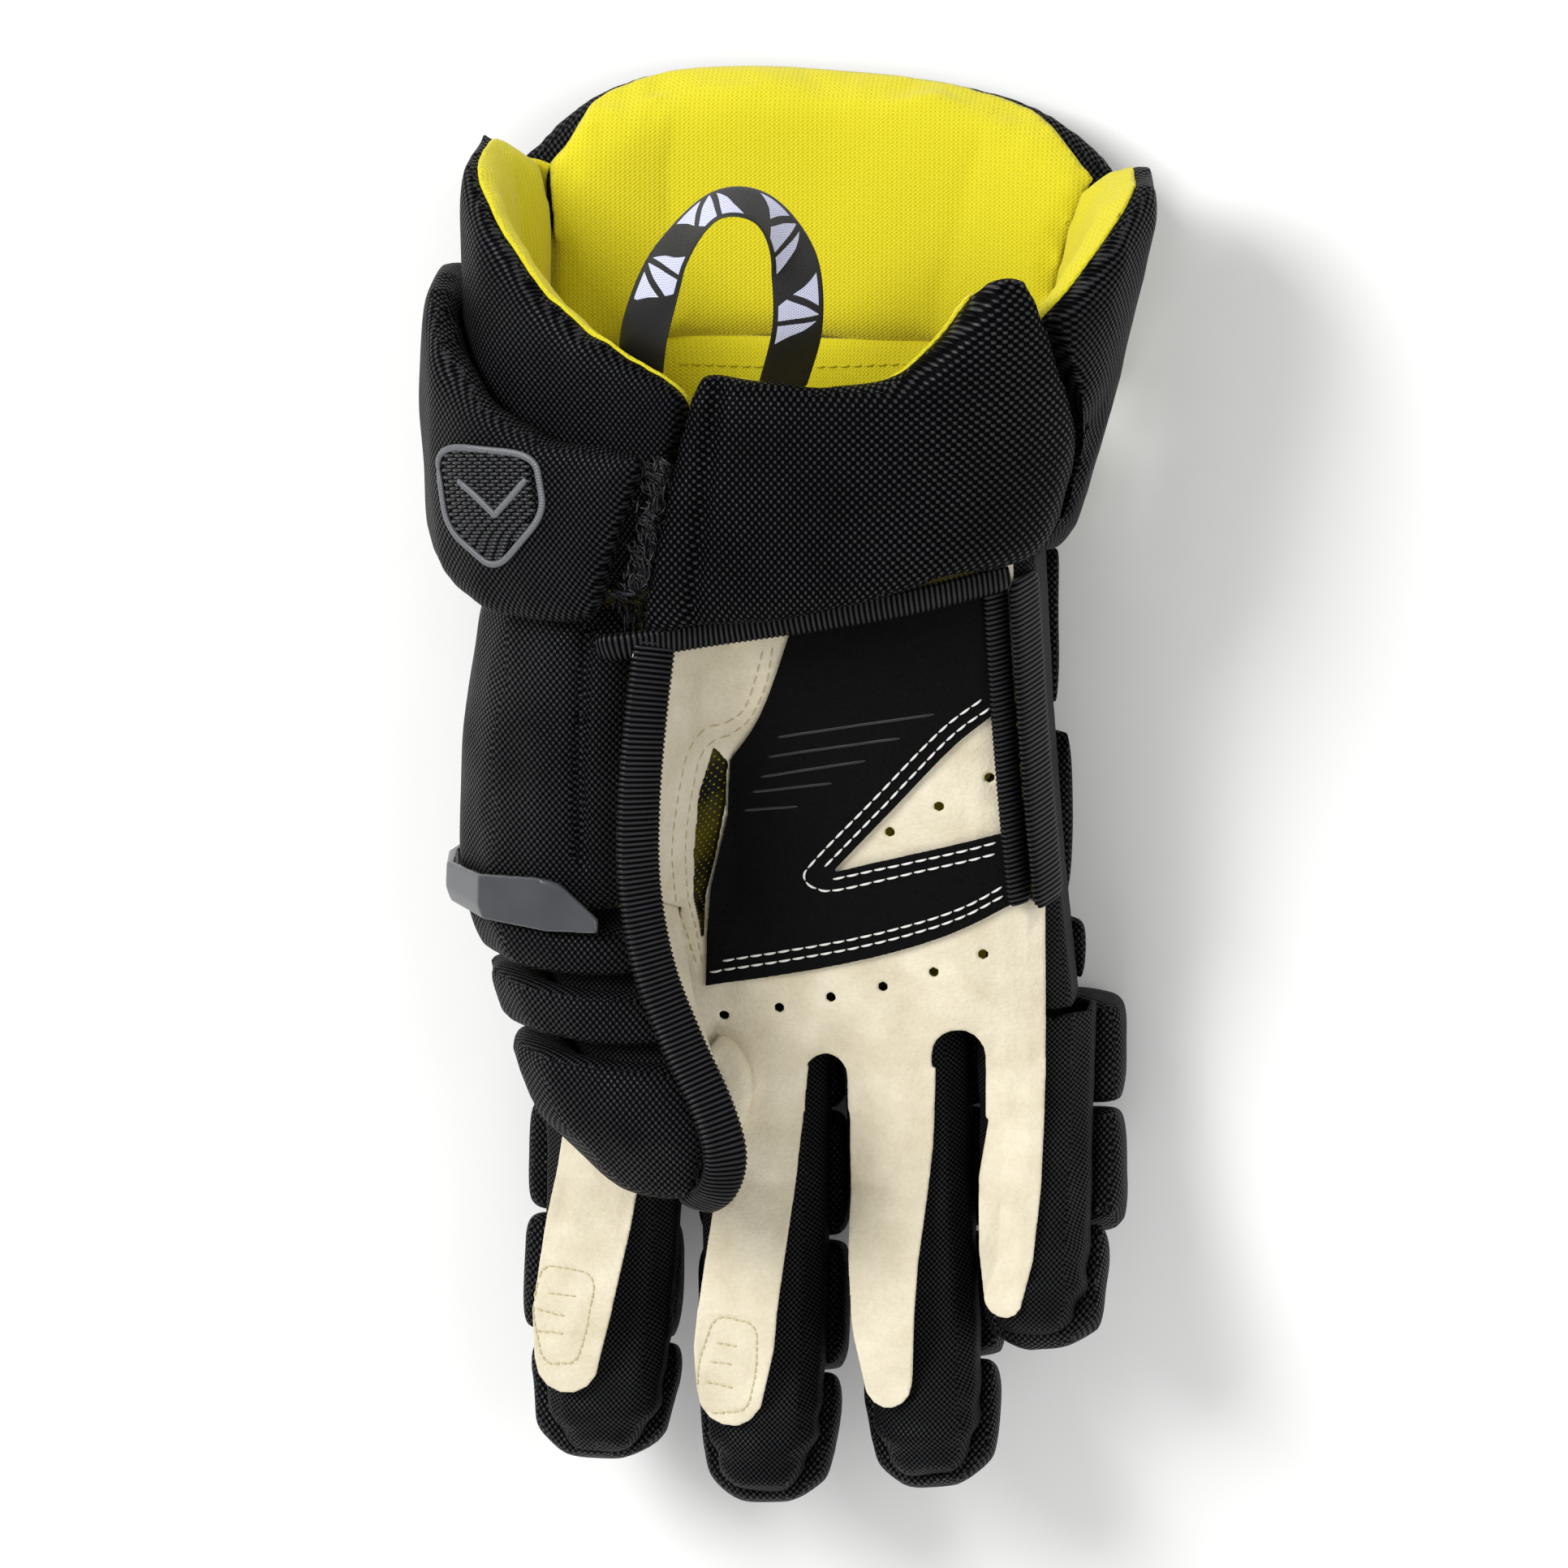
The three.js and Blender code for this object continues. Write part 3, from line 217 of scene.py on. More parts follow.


# In each mesh the darker colour, for the holes, is painted shade.
pad_mesh = knit_mesh("spacer_mesh_black_polyester", 1.6, 1.8, 0.5, "1B1C1F", "020203", 0.4, 0.4, (-0.6, 0.7))
flap_mesh = knit_mesh(
    "spacer_mesh_black_coarse", 1.9, 2.1, 0.55, "1C1D20", "020203", 0.36, 0.5, (-0.35, 0.85),
)
ON_TABLE = 0.0001  # the lowest height of a soft piece


def to_active(piece):
    bpy.ops.object.select_all(action="DESELECT")
    piece.select_set(True)
    bpy.context.view_layer.objects.active = piece


def apply_modifiers(piece):
    to_active(piece)
    for modifier in list(piece.modifiers):
        bpy.ops.object.modifier_apply(modifier=modifier.name)


def coordinates(mesh):
    co = np.empty(len(mesh.vertices) * 3)
    mesh.vertices.foreach_get("co", co)
    return co.reshape(-1, 3)


def set_coordinates(mesh, co):
    mesh.vertices.foreach_set("co", co.ravel())
    mesh.update()


def normals(mesh):
    out = np.empty(len(mesh.vertices) * 3, np.float32)
    mesh.vertex_normals.foreach_get("vector", out)
    return out.reshape(-1, 3).astype(float)


def lumps(co, size, seed):
    """Smooth noise from -1 to 1 at each point, with lumps of about that size in mm."""
    return np.array([noise.noise(Vector(p) / (size * MM) + Vector((seed, 7 * seed, 3 * seed))) for p in co])


def new_piece(name, mesh):
    piece = bpy.data.objects.new(name, mesh)
    bpy.context.scene.collection.objects.link(piece)
    return piece


def made_piece(name, points, faces):
    """A piece from its points and faces, with its faces turned outward."""
    mesh = bpy.data.meshes.new(name)
    mesh.from_pydata(points, [], faces)
    bm = bmesh.new()
    bm.from_mesh(mesh)
    bmesh.ops.recalc_face_normals(bm, faces=bm.faces)
    bm.to_mesh(mesh)
    bm.free()
    return new_piece(name, mesh)


def tube_faces(base, rings, sides):
    """The faces of a closed tube whose rings of points start at base."""
    around = [(k, (k + 1) % sides) for k in range(sides)]
    rows = range(base, base + (rings - 1) * sides, sides)
    faces = [(a + k, a + j, a + sides + j, a + sides + k) for a in rows for k, j in around]
    end = base + rings * sides
    return faces + [tuple(range(base, base + sides))[::-1], tuple(range(end - sides, end))]


def skin_over(piece, smooth, **settings):
    """Gives a piece one even skin of faces, then smooths it that many times."""
    remesh = piece.modifiers.new("Skin", "REMESH")
    for key, value in settings.items():
        setattr(remesh, key, value)
    even = piece.modifiers.new("Even", "SMOOTH")
    even.factor = 0.5
    even.iterations = smooth
    apply_modifiers(piece)


def soft_copy(node_name, voxel, smooth, inward=0.0, beside=()):
    """A copy of a CAD node, and of what is sewn to it, as one soft skin drawn in by that many mm."""
    piece = new_piece(node_name + "_soft", bpy.data.meshes.new(node_name + "_soft"))
    bm = bmesh.new()
    for part in (node_name, *beside):
        bm.from_mesh(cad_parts[part].data)
    bmesh.ops.remove_doubles(bm, verts=bm.verts, dist=1e-6)
    bm.to_mesh(piece.data)
    bm.free()
    skin_over(piece, smooth, mode="VOXEL", voxel_size=voxel * MM)
    if inward:
        set_coordinates(piece.data, coordinates(piece.data) - normals(piece.data) * inward * MM)
    return piece


def crisp_copy(node_name, depth, scale, smooth):
    """A copy of a CAD node as even faces which keep its sharp outline."""
    piece = new_piece(node_name + "_cut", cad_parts[node_name].data.copy())
    piece.data.materials.clear()
    skin_over(piece, smooth, mode="SHARP", octree_depth=depth, scale=scale)
    return piece


def puff(pieces, cap):
    """Blows closed pads up from inside as cloth, each point moving no further than the cap in mm."""
    last_frame, pressure = 20, 4
    starts = {}
    for piece in pieces:
        starts[piece.name] = coordinates(piece.data)
        cloth = piece.modifiers.new("Cloth", "CLOTH")
        cloth.settings.use_pressure = True
        cloth.settings.uniform_pressure_force = pressure
        cloth.settings.effector_weights.gravity = 0
        cloth.settings.tension_stiffness = 25
        cloth.settings.compression_stiffness = 25
        cloth.settings.quality = 4
        cloth.point_cache.frame_start = 1
        cloth.point_cache.frame_end = last_frame
    for step in range(1, last_frame + 1):
        bpy.context.scene.frame_set(step)
    shapes = bpy.context.evaluated_depsgraph_get()
    blown = {piece.name: coordinates(piece.evaluated_get(shapes).data) for piece in pieces}
    bpy.context.scene.frame_set(1)
    for piece in pieces:
        piece.modifiers.clear()
        moved = blown[piece.name] - starts[piece.name]
        length = np.linalg.norm(moved, axis=1, keepdims=True)
        limit = cap * MM
        moved *= limit * np.tanh(length / limit) / np.maximum(length, 1e-9)
        set_coordinates(piece.data, starts[piece.name] + moved)


def refine(piece):
    """One more level of faces, which rounds what the simulation leaves angular."""
    fine = piece.modifiers.new("Fine", "SUBSURF")
    fine.levels = fine.render_levels = 1
    apply_modifiers(piece)


def lay_cloth(piece, axis=None):
    """Lays the cloth on a piece: round an axis along Y at (x, z), or flat on each side of it."""
    mesh = piece.data
    co = coordinates(mesh)
    loops = np.empty(len(mesh.loops), np.int32)
    mesh.loops.foreach_get("vertex_index", loops)
    face_of = np.repeat(np.arange(len(mesh.polygons)), [p.loop_total for p in mesh.polygons])
    facing = np.empty(len(mesh.polygons) * 3, np.float32)
    mesh.polygons.foreach_get("normal", facing)
    facing = facing.reshape(-1, 3)[face_of]
    at = co[loops]
    if axis:
        across, up = at[:, 0] - axis[0], at[:, 2] - axis[1]
        reach = np.hypot(across, up)
        turn = np.arctan2(across, up * math.copysign(1, up.mean()))
        middle = np.median(reach)
        end = np.abs(facing[:, 1]) > 0.75
        uv = np.stack([turn * middle, np.where(end, reach, at[:, 1])], 1)
    else:
        main = np.abs(facing).argmax(1)
        u = np.where(main == 0, at[:, 1], at[:, 0])
        v = np.where(main == 2, at[:, 1], at[:, 2])
        uv = np.stack([u, v], 1)
    layer = mesh.uv_layers.get("cloth") or mesh.uv_layers.new(name="cloth")
    layer.data.foreach_set("uv", uv.astype(np.float32).ravel())


def finish_piece(piece, material, slot, *nodes):
    """Gives a piece its material, its smooth shading and its body, and hides the CAD nodes that it stands for.
    """
    piece.data.materials.clear()
    piece.data.materials.append(material)
    to_active(piece)
    bpy.ops.object.shade_smooth()
    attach(piece, "root")
    if nodes:
        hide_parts(*nodes)


def surface_of(*pieces):
    """The surface of these pieces, for rays to fall on."""
    bm = bmesh.new()
    for piece in pieces:
        bm.from_mesh(piece.data)
    surface = BVHTree.FromBMesh(bm)
    bm.free()
    return surface


def sight(x, y, ground):
    """Where the pixel (x, y) of the picture falls on a surface, and the way it faces there."""
    across, up = (x - PICTURE / 2) * PIXEL * MM, (PICTURE / 2 - y) * PIXEL * MM
    start = LOOK_AT + toward * CAMERA_AWAY
    aim = LOOK_AT + upward.cross(toward) * across + upward * up
    return ground.ray_cast(start, (aim - start).normalized())[:2]


def seen_line(pixels, ground, step=4):
    """Points on a surface, and the ways they face, under a line through pixels of the picture."""
    spots = []
    for (x0, y0), (x1, y1) in zip(pixels, pixels[1:]):
        count = max(int(math.hypot(x1 - x0, y1 - y0) / step), 1)
        spots += [sight(x0 + (x1 - x0) * k / count, y0 + (y1 - y0) * k / count, ground) for k in range(count)]
    spots.append(sight(*pixels[-1], ground))
    return [(hit, face) for hit, face in spots if hit is not None]


def press_seam(piece, pixels, width, depth):
    """Presses a seam of that width and depth in mm into a piece, under a line through pixels."""
    line = np.array([list(hit) for hit, _ in seen_line(pixels, surface_of(piece))])
    co, out = coordinates(piece.data), normals(piece.data)
    best = np.full(len(co), 1.0)
    for a, b in zip(line, line[1:]):
        along = b - a
        t = np.clip((co - a) @ along / max(along @ along, 1e-12), 0, 1)
        best = np.minimum(best, np.linalg.norm(co - (a + t[:, None] * along), axis=1))
    push = depth * MM * np.exp(-((best / (width * MM)) ** 2))
    set_coordinates(piece.data, co - out * push[:, None])


def foam_pads(parts, voxel, smooth, inward, cap, swell, size, seed, axis=None, seams=None):
    """One pad for each CAD node, blown up to the cap, with lumps of that swell and size, all in mm."""
    pads = [soft_copy(part, voxel, smooth, inward) for part in parts]
    puff(pads, cap)
    for number, (pad, part) in enumerate(zip(pads, parts)):
        refine(pad)
        shape = coordinates(pad.data)
        shape += normals(pad.data) * (swell * MM * lumps(shape, size, seed + number))[:, None]
        shape[:, 2] = np.maximum(shape[:, 2], ON_TABLE)
        set_coordinates(pad.data, shape)
        if seams and part in seams:
            press_seam(pad, seams[part], width=1.7, depth=2.6)
        lay_cloth(pad, axis)
        finish_piece(pad, pad_mesh, "black_mesh", part)
    return pads


# --- Cuff flaps ----------------------------------------------------------------------------------
# Four foam flaps stand round the wrist: a tall one behind it, one at each side and one over the
# palm. Each is a slab of foam in black mesh, turned over at the rim and sewn down to the lining.
CUFF_AXIS = (0.0, 0.0495)
FLAPS = ("back_cuff", "thumb_side_cuff", "outer_side_cuff", "palm_cuff")
FLAP_LININGS = ("back_cuff_lining", "thumb_side_lining", "outer_side_lining", "palm_cuff_lining")
HEM_DROP = 3.2  # mm by which the palm flap's hem lies over the tape below it
HEM_TOP, HEM_DEPTH = 86, 22  # mm, from where and over what depth the hem gives way
PALM_FLAP_SEAM = [(884, 478), (872, 560), (862, 660), (852, 765)]


def even_rim(shape):
    """Moves a flap's rim to one even arch, drawn through its highest points."""
    bins = np.arange(-90, 92, 2.0) * MM
    bin_of = np.clip(np.digitize(shape[:, 0], bins), 1, len(bins) - 1)
    tops = [shape[bin_of == k, 1] for k in range(1, len(bins))]
    rim = np.array([top.max() if len(top) else np.nan for top in tops])
    middles = (bins[1:] + bins[:-1]) / 2
    known = ~np.isnan(rim)
    arch = np.polyval(np.polyfit(middles[known], rim[known], 4), shape[:, 0])
    now = np.interp(shape[:, 0], middles[known], rim[known])
    shape[:, 1] += (arch - now) * np.clip((shape[:, 1] - now + 40 * MM) / (30 * MM), 0, 1)


cuffs = [
    soft_copy(part, voxel=2.6, smooth=8, inward=0.9, beside=[under]) for part, under in zip(FLAPS, FLAP_LININGS)
]
puff(cuffs, cap=2.2)
for number, (flap, part) in enumerate(zip(cuffs, FLAPS)):
    refine(flap)
    shape = coordinates(flap.data)
    if part == "palm_cuff":
        shape[:, 1] -= HEM_DROP * MM * np.clip((HEM_TOP * MM - shape[:, 1]) / (HEM_DEPTH * MM), 0, 1)
    if part == "back_cuff":
        even_rim(shape)
    shape += normals(flap.data) * (0.5 * MM * lumps(shape, 22, number + 3))[:, None]
    shape[:, 2] = np.maximum(shape[:, 2], ON_TABLE)
    set_coordinates(flap.data, shape)
    if part == "palm_cuff":
        press_seam(flap, PALM_FLAP_SEAM, width=1.8, depth=2.4)
    lay_cloth(flap, None if part == "back_cuff" else CUFF_AXIS)
    finish_piece(flap, flap_mesh if part == "palm_cuff" else pad_mesh, "black_mesh", part)

# --- Wrist wrap ----------------------------------------------------------------------------------
# A padded strap of the same mesh folds round the thumb's side of the cuff and ends in a raw edge
# beside the palm flap.
wrap = foam_pads(
    ["wrist_wrap"], voxel=3.0, smooth=6, inward=0.9, cap=2.4, swell=0.5, size=18, seed=11,
    axis=CUFF_AXIS,
)[0]

# --- Pads on the back of the hand ----------------------------------------------------------------
# Three broad foam pads and a narrow roll lie across the back, each sewn into its own channel. The
# glove's weight presses them flat on the table.
BACK_PADS = ("wrist_pad", "backhand_pad", "knuckle_pad", "knuckle_roll")
foam_pads(BACK_PADS, voxel=3.0, smooth=6, inward=0.8, cap=2.0, swell=0.4, size=20, seed=31)

# --- Finger rolls --------------------------------------------------------------------------------
# Each finger's back carries three or four short foam rolls in mesh, with a crease between them
# where the finger bends.
ROLL_COUNTS = (("index", 4), ("middle", 4), ("ring", 4), ("little", 3))
ROLLS = [f"{finger}_roll_{k + 1}" for finger, count in ROLL_COUNTS for k in range(count)]
foam_pads(ROLLS, voxel=2.0, smooth=12, inward=-0.2, cap=1.6, swell=0.35, size=11, seed=51)

# --- Thumb pads ----------------------------------------------------------------------------------
# The thumb's guard is one long base pad, two narrow rolls that let it bend, and a rounded tip pad,
# all foam in the same mesh. A seam runs down the base pad where its side panel meets its front.
THUMB_PADS = ("thumb_base_pad", "thumb_roll_1", "thumb_roll_2", "thumb_tip_pad")
THUMB_SEAM = [(724, 770), (716, 860), (712, 960), (716, 1060)]
thumbs = foam_pads(
    THUMB_PADS, voxel=2.6, smooth=6, inward=0.7, cap=2.0, swell=0.4, size=16, seed=81,
    seams={"thumb_base_pad": THUMB_SEAM},
)

# --- Finger sleeves and gussets ------------------------------------------------------------------
# The fingers' sides and tips are a thin stretch mesh, finer than the pads' and slightly loose, so
# it gathers in soft folds round each fingertip. The same mesh closes the outer side of the hand. An
# open mesh, through which the yellow lining shows in dots, lies behind the slit by the thumb.
TIP_LENGTH, FOLD_PITCH = 30, 9  # mm of each fingertip that gathers, and from fold to fold
# Its holes are painted near black, as shade.
stretch_mesh = knit_mesh("stretch_mesh_black_nylon", 1.3, 1.35, 0.3, "18191B", "030304", 0.45, 0.3)
for number, finger in enumerate(("index", "middle", "ring", "little")):
    sleeve = soft_copy(finger + "_sleeve", voxel=0.9, smooth=16)
    shape, out = coordinates(sleeve.data), normals(sleeve.data)
    tip = shape[:, 1].min()
    share = np.clip((shape[:, 1] - tip) / (TIP_LENGTH * MM), 0, 1)
    fold = np.sin(2 * math.pi * (shape[:, 1] - tip) / (FOLD_PITCH * MM) + 2.5 * lumps(shape, 16, number + 91))
    gathered = 0.8 * fold * (1 - share) ** 1.2 + 1.6 * (1 - share) ** 2
    shape += out * ((gathered + 0.35 * lumps(shape, 9, number + 95)) * MM)[:, None]
    shape[:, 2] = np.maximum(shape[:, 2], ON_TABLE)
    set_coordinates(sleeve.data, shape)
    lay_cloth(sleeve)
    finish_piece(sleeve, stretch_mesh, "finger_mesh", finger + "_sleeve")
gusset = soft_copy("outer_gusset", voxel=0.8, smooth=10)
lay_cloth(gusset)
finish_piece(gusset, stretch_mesh, "finger_mesh", "outer_gusset")
# Its holes are painted yellow, darker than the lining: partly the lining's own colour, partly painted shade
# under the mesh.
open_mesh = knit_mesh(
    "open_mesh_black_over_yellow", 2.0, 2.2, 0.3, "0B0B0C", "A89C10", 0.5, 0.2, (-1.0, -0.55),
)
gusset = soft_copy("thumb_gusset", voxel=0.8, smooth=8)
lay_cloth(gusset)
finish_piece(gusset, open_mesh, "finger_mesh", "thumb_gusset")

# --- Cream suede palm ----------------------------------------------------------------------------
# The palm and the strips under the fingers are one piece of cream synthetic suede, 1.3 mm thick,
# with a short nap and small punched vents. The thumb's sleeve is cut from the same suede.
suede, tree, shader = new_material("synthetic_suede_cream")
where = node(tree, "ShaderNodeTexCoord", {}).outputs["Object"]
nap = node(tree, "ShaderNodeTexNoise", {"Vector": where, "Scale": 1000, "Detail": 3, "Roughness": 0.65})
mottle = node(tree, "ShaderNodeTexNoise", {"Vector": where, "Scale": 90, "Detail": 5})
tone = node(
    tree, "ShaderNodeMath", {0: nap.outputs["Fac"], 1: 0.45, 2: mottle.outputs["Fac"]},
    operation="MULTIPLY_ADD",
)
tint = node(tree, "ShaderNodeMapRange", {"Value": tone.outputs[0], "From Min": 0.45, "From Max": 1.0})
mixed = node(
    tree, "ShaderNodeMix", {0: tint.outputs[0], 6: colour("CFC4A8"), 7: colour("E9E0C9")}, data_type="RGBA",
)
bump = node(tree, "ShaderNodeBump", {"Height": nap.outputs["Fac"], "Strength": 0.7, "Distance": 0.0004})
feed(tree, shader, {
    "Base Color": mixed.outputs[2], "Roughness": 0.92, "Sheen Weight": 0.25, "Sheen Roughness": 0.5,
    "Normal": bump.outputs[0],
})


def creased(shape):
    """The low folds that run through both layers of suede, as heights over the palm."""
    flat = shape * np.array([1, 1, 0])
    return (0.55 * lumps(flat, 17, 5) + 0.3 * lumps(flat, 6, 8)) * MM


palm = crisp_copy("palm_leather", depth=9, scale=0.8, smooth=7)
fewer = palm.modifiers.new("Fewer", "DECIMATE")
fewer.ratio = 0.5
apply_modifiers(palm)
shape = coordinates(palm.data)
CORNER_X, CORNER_Y, PALM_END = -16 * MM, 44 * MM, 46.5 * MM  # its corner goes under the tape
by_thumb = np.clip((CORNER_X - shape[:, 0]) / (6 * MM), 0, 1)
shape[:, 2] -= 6 * MM * np.clip((shape[:, 1] - CORNER_Y) / (4 * MM), 0, 1) * by_thumb
shape[:, 1] -= np.maximum(shape[:, 1] - PALM_END, 0) * by_thumb
shape[:, 2] += creased(shape)
set_coordinates(palm.data, shape)
lay_cloth(palm)
finish_piece(palm, suede, "cream_suede", "palm_leather")
thumb_skin = soft_copy("thumb_sleeve", voxel=1.0, smooth=16)
shape = coordinates(thumb_skin.data)
SLEEVE_END = 41 * MM  # from here it goes down under the tape
shape[:, 2] -= 7 * MM * np.clip((shape[:, 1] - SLEEVE_END) / (5 * MM), 0, 1)
set_coordinates(thumb_skin.data, shape)
lay_cloth(thumb_skin)
finish_piece(thumb_skin, suede, "cream_suede", "thumb_sleeve")
thumb_skin.data.materials.append(stretch_mesh)  # under the pads the sleeve is of the fingers' mesh
PADS_END_Y = (-0.097, -0.084, -0.064, -0.049, -0.032, 0.05)
PADS_END_X = (-0.022, -0.014, -0.018, -0.025, -0.031, -0.034)
for face in thumb_skin.data.polygons:
    face.material_index = 1 if face.center.x < np.interp(face.center.y, PADS_END_Y, PADS_END_X) else 0

# --- Black suede overlay -------------------------------------------------------------------------
# A second layer of black suede is sewn over the palm where the stick rubs. Its nap takes in nearly
# all light, so it shows no gloss.
dark_suede, tree, shader, nap = two_toned(
    "synthetic_suede_black", 1200, 3, "020202", "131314", 0.95, Roughness=0.7,
)
bump = node(tree, "ShaderNodeBump", {"Height": nap.outputs["Fac"], "Strength": 0.5, "Distance": 0.00025})
feed(tree, shader, {"Specular IOR Level": 0.08, "Normal": bump.outputs[0]})
overlay = crisp_copy("palm_overlay", depth=8, scale=0.8, smooth=3)
shape = coordinates(overlay.data)
shape[:, 2] += creased(shape)
set_coordinates(overlay.data, shape)
lay_cloth(overlay)
finish_piece(overlay, dark_suede, "black_suede", "palm_overlay")

# --- Yellow knit lining --------------------------------------------------------------------------
# The lining is a bright yellow brushed knit on thin foam, with fine ribs that run up the cuff. It
# covers each flap's inner face, and the back of the hand below them.
knit, tree, shader = new_material("brushed_knit_yellow")
uv = node(tree, "ShaderNodeUVMap", {}, uv_map="cloth")
WALE, COURSE = 1.15, 0.95  # mm between two ribs of the knit, and between two rows
waves, loops = crossed_waves(tree, uv.outputs[0], WALE, COURSE)[1:]
fuzz = node(tree, "ShaderNodeTexNoise", {"Vector": uv.outputs[0], "Scale": 1500, "Detail": 2})
height_and_shade = node(
    tree, "ShaderNodeMath", {0: waves[0].outputs[0], 1: 0.5, 2: loops.outputs[0]}, operation="MULTIPLY_ADD",
)
height_and_shade = node(
    tree, "ShaderNodeMath", {0: fuzz.outputs["Fac"], 1: 1.2, 2: height_and_shade.outputs[0]}, operation="MULTIPLY_ADD",
)
# The hollows between the ribs are painted a darker yellow, as shade; the fuzz also varies the tone at random.
tint = node(tree, "ShaderNodeMapRange", {"Value": height_and_shade.outputs[0], "From Min": -0.9, "From Max": 1.6})
mixed = node(
    tree, "ShaderNodeMix", {0: tint.outputs[0], 6: colour("C6BA02"), 7: colour("E2D60E")}, data_type="RGBA",
)
bump = node(tree, "ShaderNodeBump", {"Height": height_and_shade.outputs[0], "Strength": 0.35, "Distance": 0.0003})
feed(tree, shader, {
    "Base Color": mixed.outputs[2], "Roughness": 0.85, "Sheen Weight": 0.15, "Normal": bump.outputs[0],
})


def peel(flap, name, thick, rim, hem, side, top):
    """A layer of cloth over a flap's inner face, up to those shares of its rim, hem, sides and top."""
    co, out = coordinates(flap.data), normals(flap.data)
    away = np.stack([co[:, 0] - CUFF_AXIS[0], co[:, 2] - CUFF_AXIS[1]], 1)
    away /= np.linalg.norm(away, axis=1, keepdims=True)
    level = -(out[:, 0] * away[:, 0] + out[:, 2] * away[:, 1])
    level -= np.select([out[:, 1] > 0.4, out[:, 1] < -0.4, out[:, 2] > 0.2], [rim, hem, top], side)
    ends = np.empty(len(flap.data.edges) * 2, np.int32)
    flap.data.edges.foreach_get("vertices", ends)
    ends = ends.reshape(-1, 2)
    count = np.bincount(ends.ravel(), minlength=len(co))
    for _ in range(16):
        total = np.bincount(ends[:, 0], level[ends[:, 1]], len(co))
        total += np.bincount(ends[:, 1], level[ends[:, 0]], len(co))
        level = 0.3 * level + 0.7 * total / count
    bm = bmesh.new()
    bm.from_mesh(flap.data)
    outer = [face for face in bm.faces if sum(level[vert.index] for vert in face.verts) < 0]
    bmesh.ops.delete(bm, geom=outer, context="FACES")
    left, islands = set(bm.faces), []
    while left:
        reached, island = [left.pop()], []
        while reached:
            face = reached.pop()
            island.append(face)
            for beside in {other for edge in face.edges for other in edge.link_faces} & left:
                left.remove(beside)
                reached.append(beside)
        islands.append(island)
    islands.sort(key=len)
    stray = [face for island in islands[:-1] for face in island]
    bmesh.ops.delete(bm, geom=stray, context="FACES")
    for _ in range(20):
        moved = {}
        for vert in bm.verts:
            if vert.is_boundary:
                beside = [edge.other_vert(vert).co for edge in vert.link_edges if edge.is_boundary]
                if len(beside) == 2:
                    moved[vert] = vert.co * 0.4 + (beside[0] + beside[1]) * 0.3
        for vert, spot in moved.items():
            vert.co = spot
    layer = bpy.data.meshes.new(name)
    bm.to_mesh(layer)
    bm.free()
    piece = new_piece(name, layer)
    cloth = piece.modifiers.new("Thick", "SOLIDIFY")
    cloth.thickness = thick * MM
    cloth.offset = 0.2
    apply_modifiers(piece)
    return piece


COVERS = (  # the shares of each flap's rim, hem, sides and top
    (0.05, -0.6, -0.3, -0.3),
    (0.3, 0.6, -0.6, 0.55),
    (0.3, 0.6, -0.6, 0.55),
    (0.5, 0.7, 0.5, 0.55),
)
for flap, part, cover in zip(cuffs, FLAP_LININGS, COVERS):
    lining = peel(flap, part + "_cloth", 1.3, *cover)
    lay_cloth(lining, None if part == "back_cuff_lining" else CUFF_AXIS)
    finish_piece(lining, knit, "yellow_knit", part)
lining = soft_copy("back_lining", voxel=1.1, smooth=20)
shape, out = coordinates(lining.data), normals(lining.data)
shape += out * (0.3 * MM * lumps(shape, 20, 61))[:, None]
TUCK = 9 * MM
upper = np.clip((shape[:, 1] - shape[:, 1].max() + TUCK) / TUCK, 0, 1)
shape[:, 1] += 5 * MM * upper  # its upper edge is tucked under the cuff's own lining
shape[:, 2] -= 0.8 * MM * upper ** 2
set_coordinates(lining.data, shape)
lay_cloth(lining, CUFF_AXIS)
finish_piece(lining, knit, "yellow_knit", "back_lining")

# --- Bindings ------------------------------------------------------------------------------------
# Ribbed black tape is folded over the raw edges and sewn down: over the thumb's edge of the palm,
# under the palm flap, and twice along the little finger's side.
tape, tree, shader = new_material("grosgrain_tape_black_polyester")
uv = node(tree, "ShaderNodeUVMap", {}, uv_map="cloth")
stretched = node(tree, "ShaderNodeMapping", {"Vector": uv.outputs[0], "Scale": (1, 0.25, 1)})
thread = node(tree, "ShaderNodeTexNoise", {"Vector": stretched.outputs[0], "Scale": 3000, "Detail": 2})
mixed = node(
    tree, "ShaderNodeMix", {0: thread.outputs["Fac"], 6: colour("0C0C0E"), 7: colour("232428")},
    data_type="RGBA",
)
RIB = 1.3  # mm between two ribs of the tape
length = node(tree, "ShaderNodeSeparateXYZ", {0: uv.outputs[0]})
turn = node(tree, "ShaderNodeMath", {0: length.outputs[1], 1: 2 * math.pi / (RIB * MM)}, operation="MULTIPLY")
ridge = node(tree, "ShaderNodeMath", {0: turn.outputs[0]}, operation="COSINE")
rise = node(tree, "ShaderNodeMapRange", {"Value": ridge.outputs[0], "From Min": -0.6, "From Max": 0.9})
# Between the ribs the tape is painted near black, as the shade in its grooves.
ribs_and_shade = node(
    tree, "ShaderNodeMix", {0: rise.outputs[0], 6: colour("020203"), 7: mixed.outputs[2]}, data_type="RGBA",
)
glint = node(tree, "ShaderNodeMapRange", {"Value": rise.outputs[0], "To Min": 0.02, "To Max": 0.35})
bump = node(tree, "ShaderNodeBump", {"Height": thread.outputs["Fac"], "Strength": 0.4, "Distance": 0.0001})
feed(tree, shader, {
    "Base Color": ribs_and_shade.outputs[2], "Roughness": 0.45, "Specular IOR Level": glint.outputs[0],
    "Normal": bump.outputs[0],
})


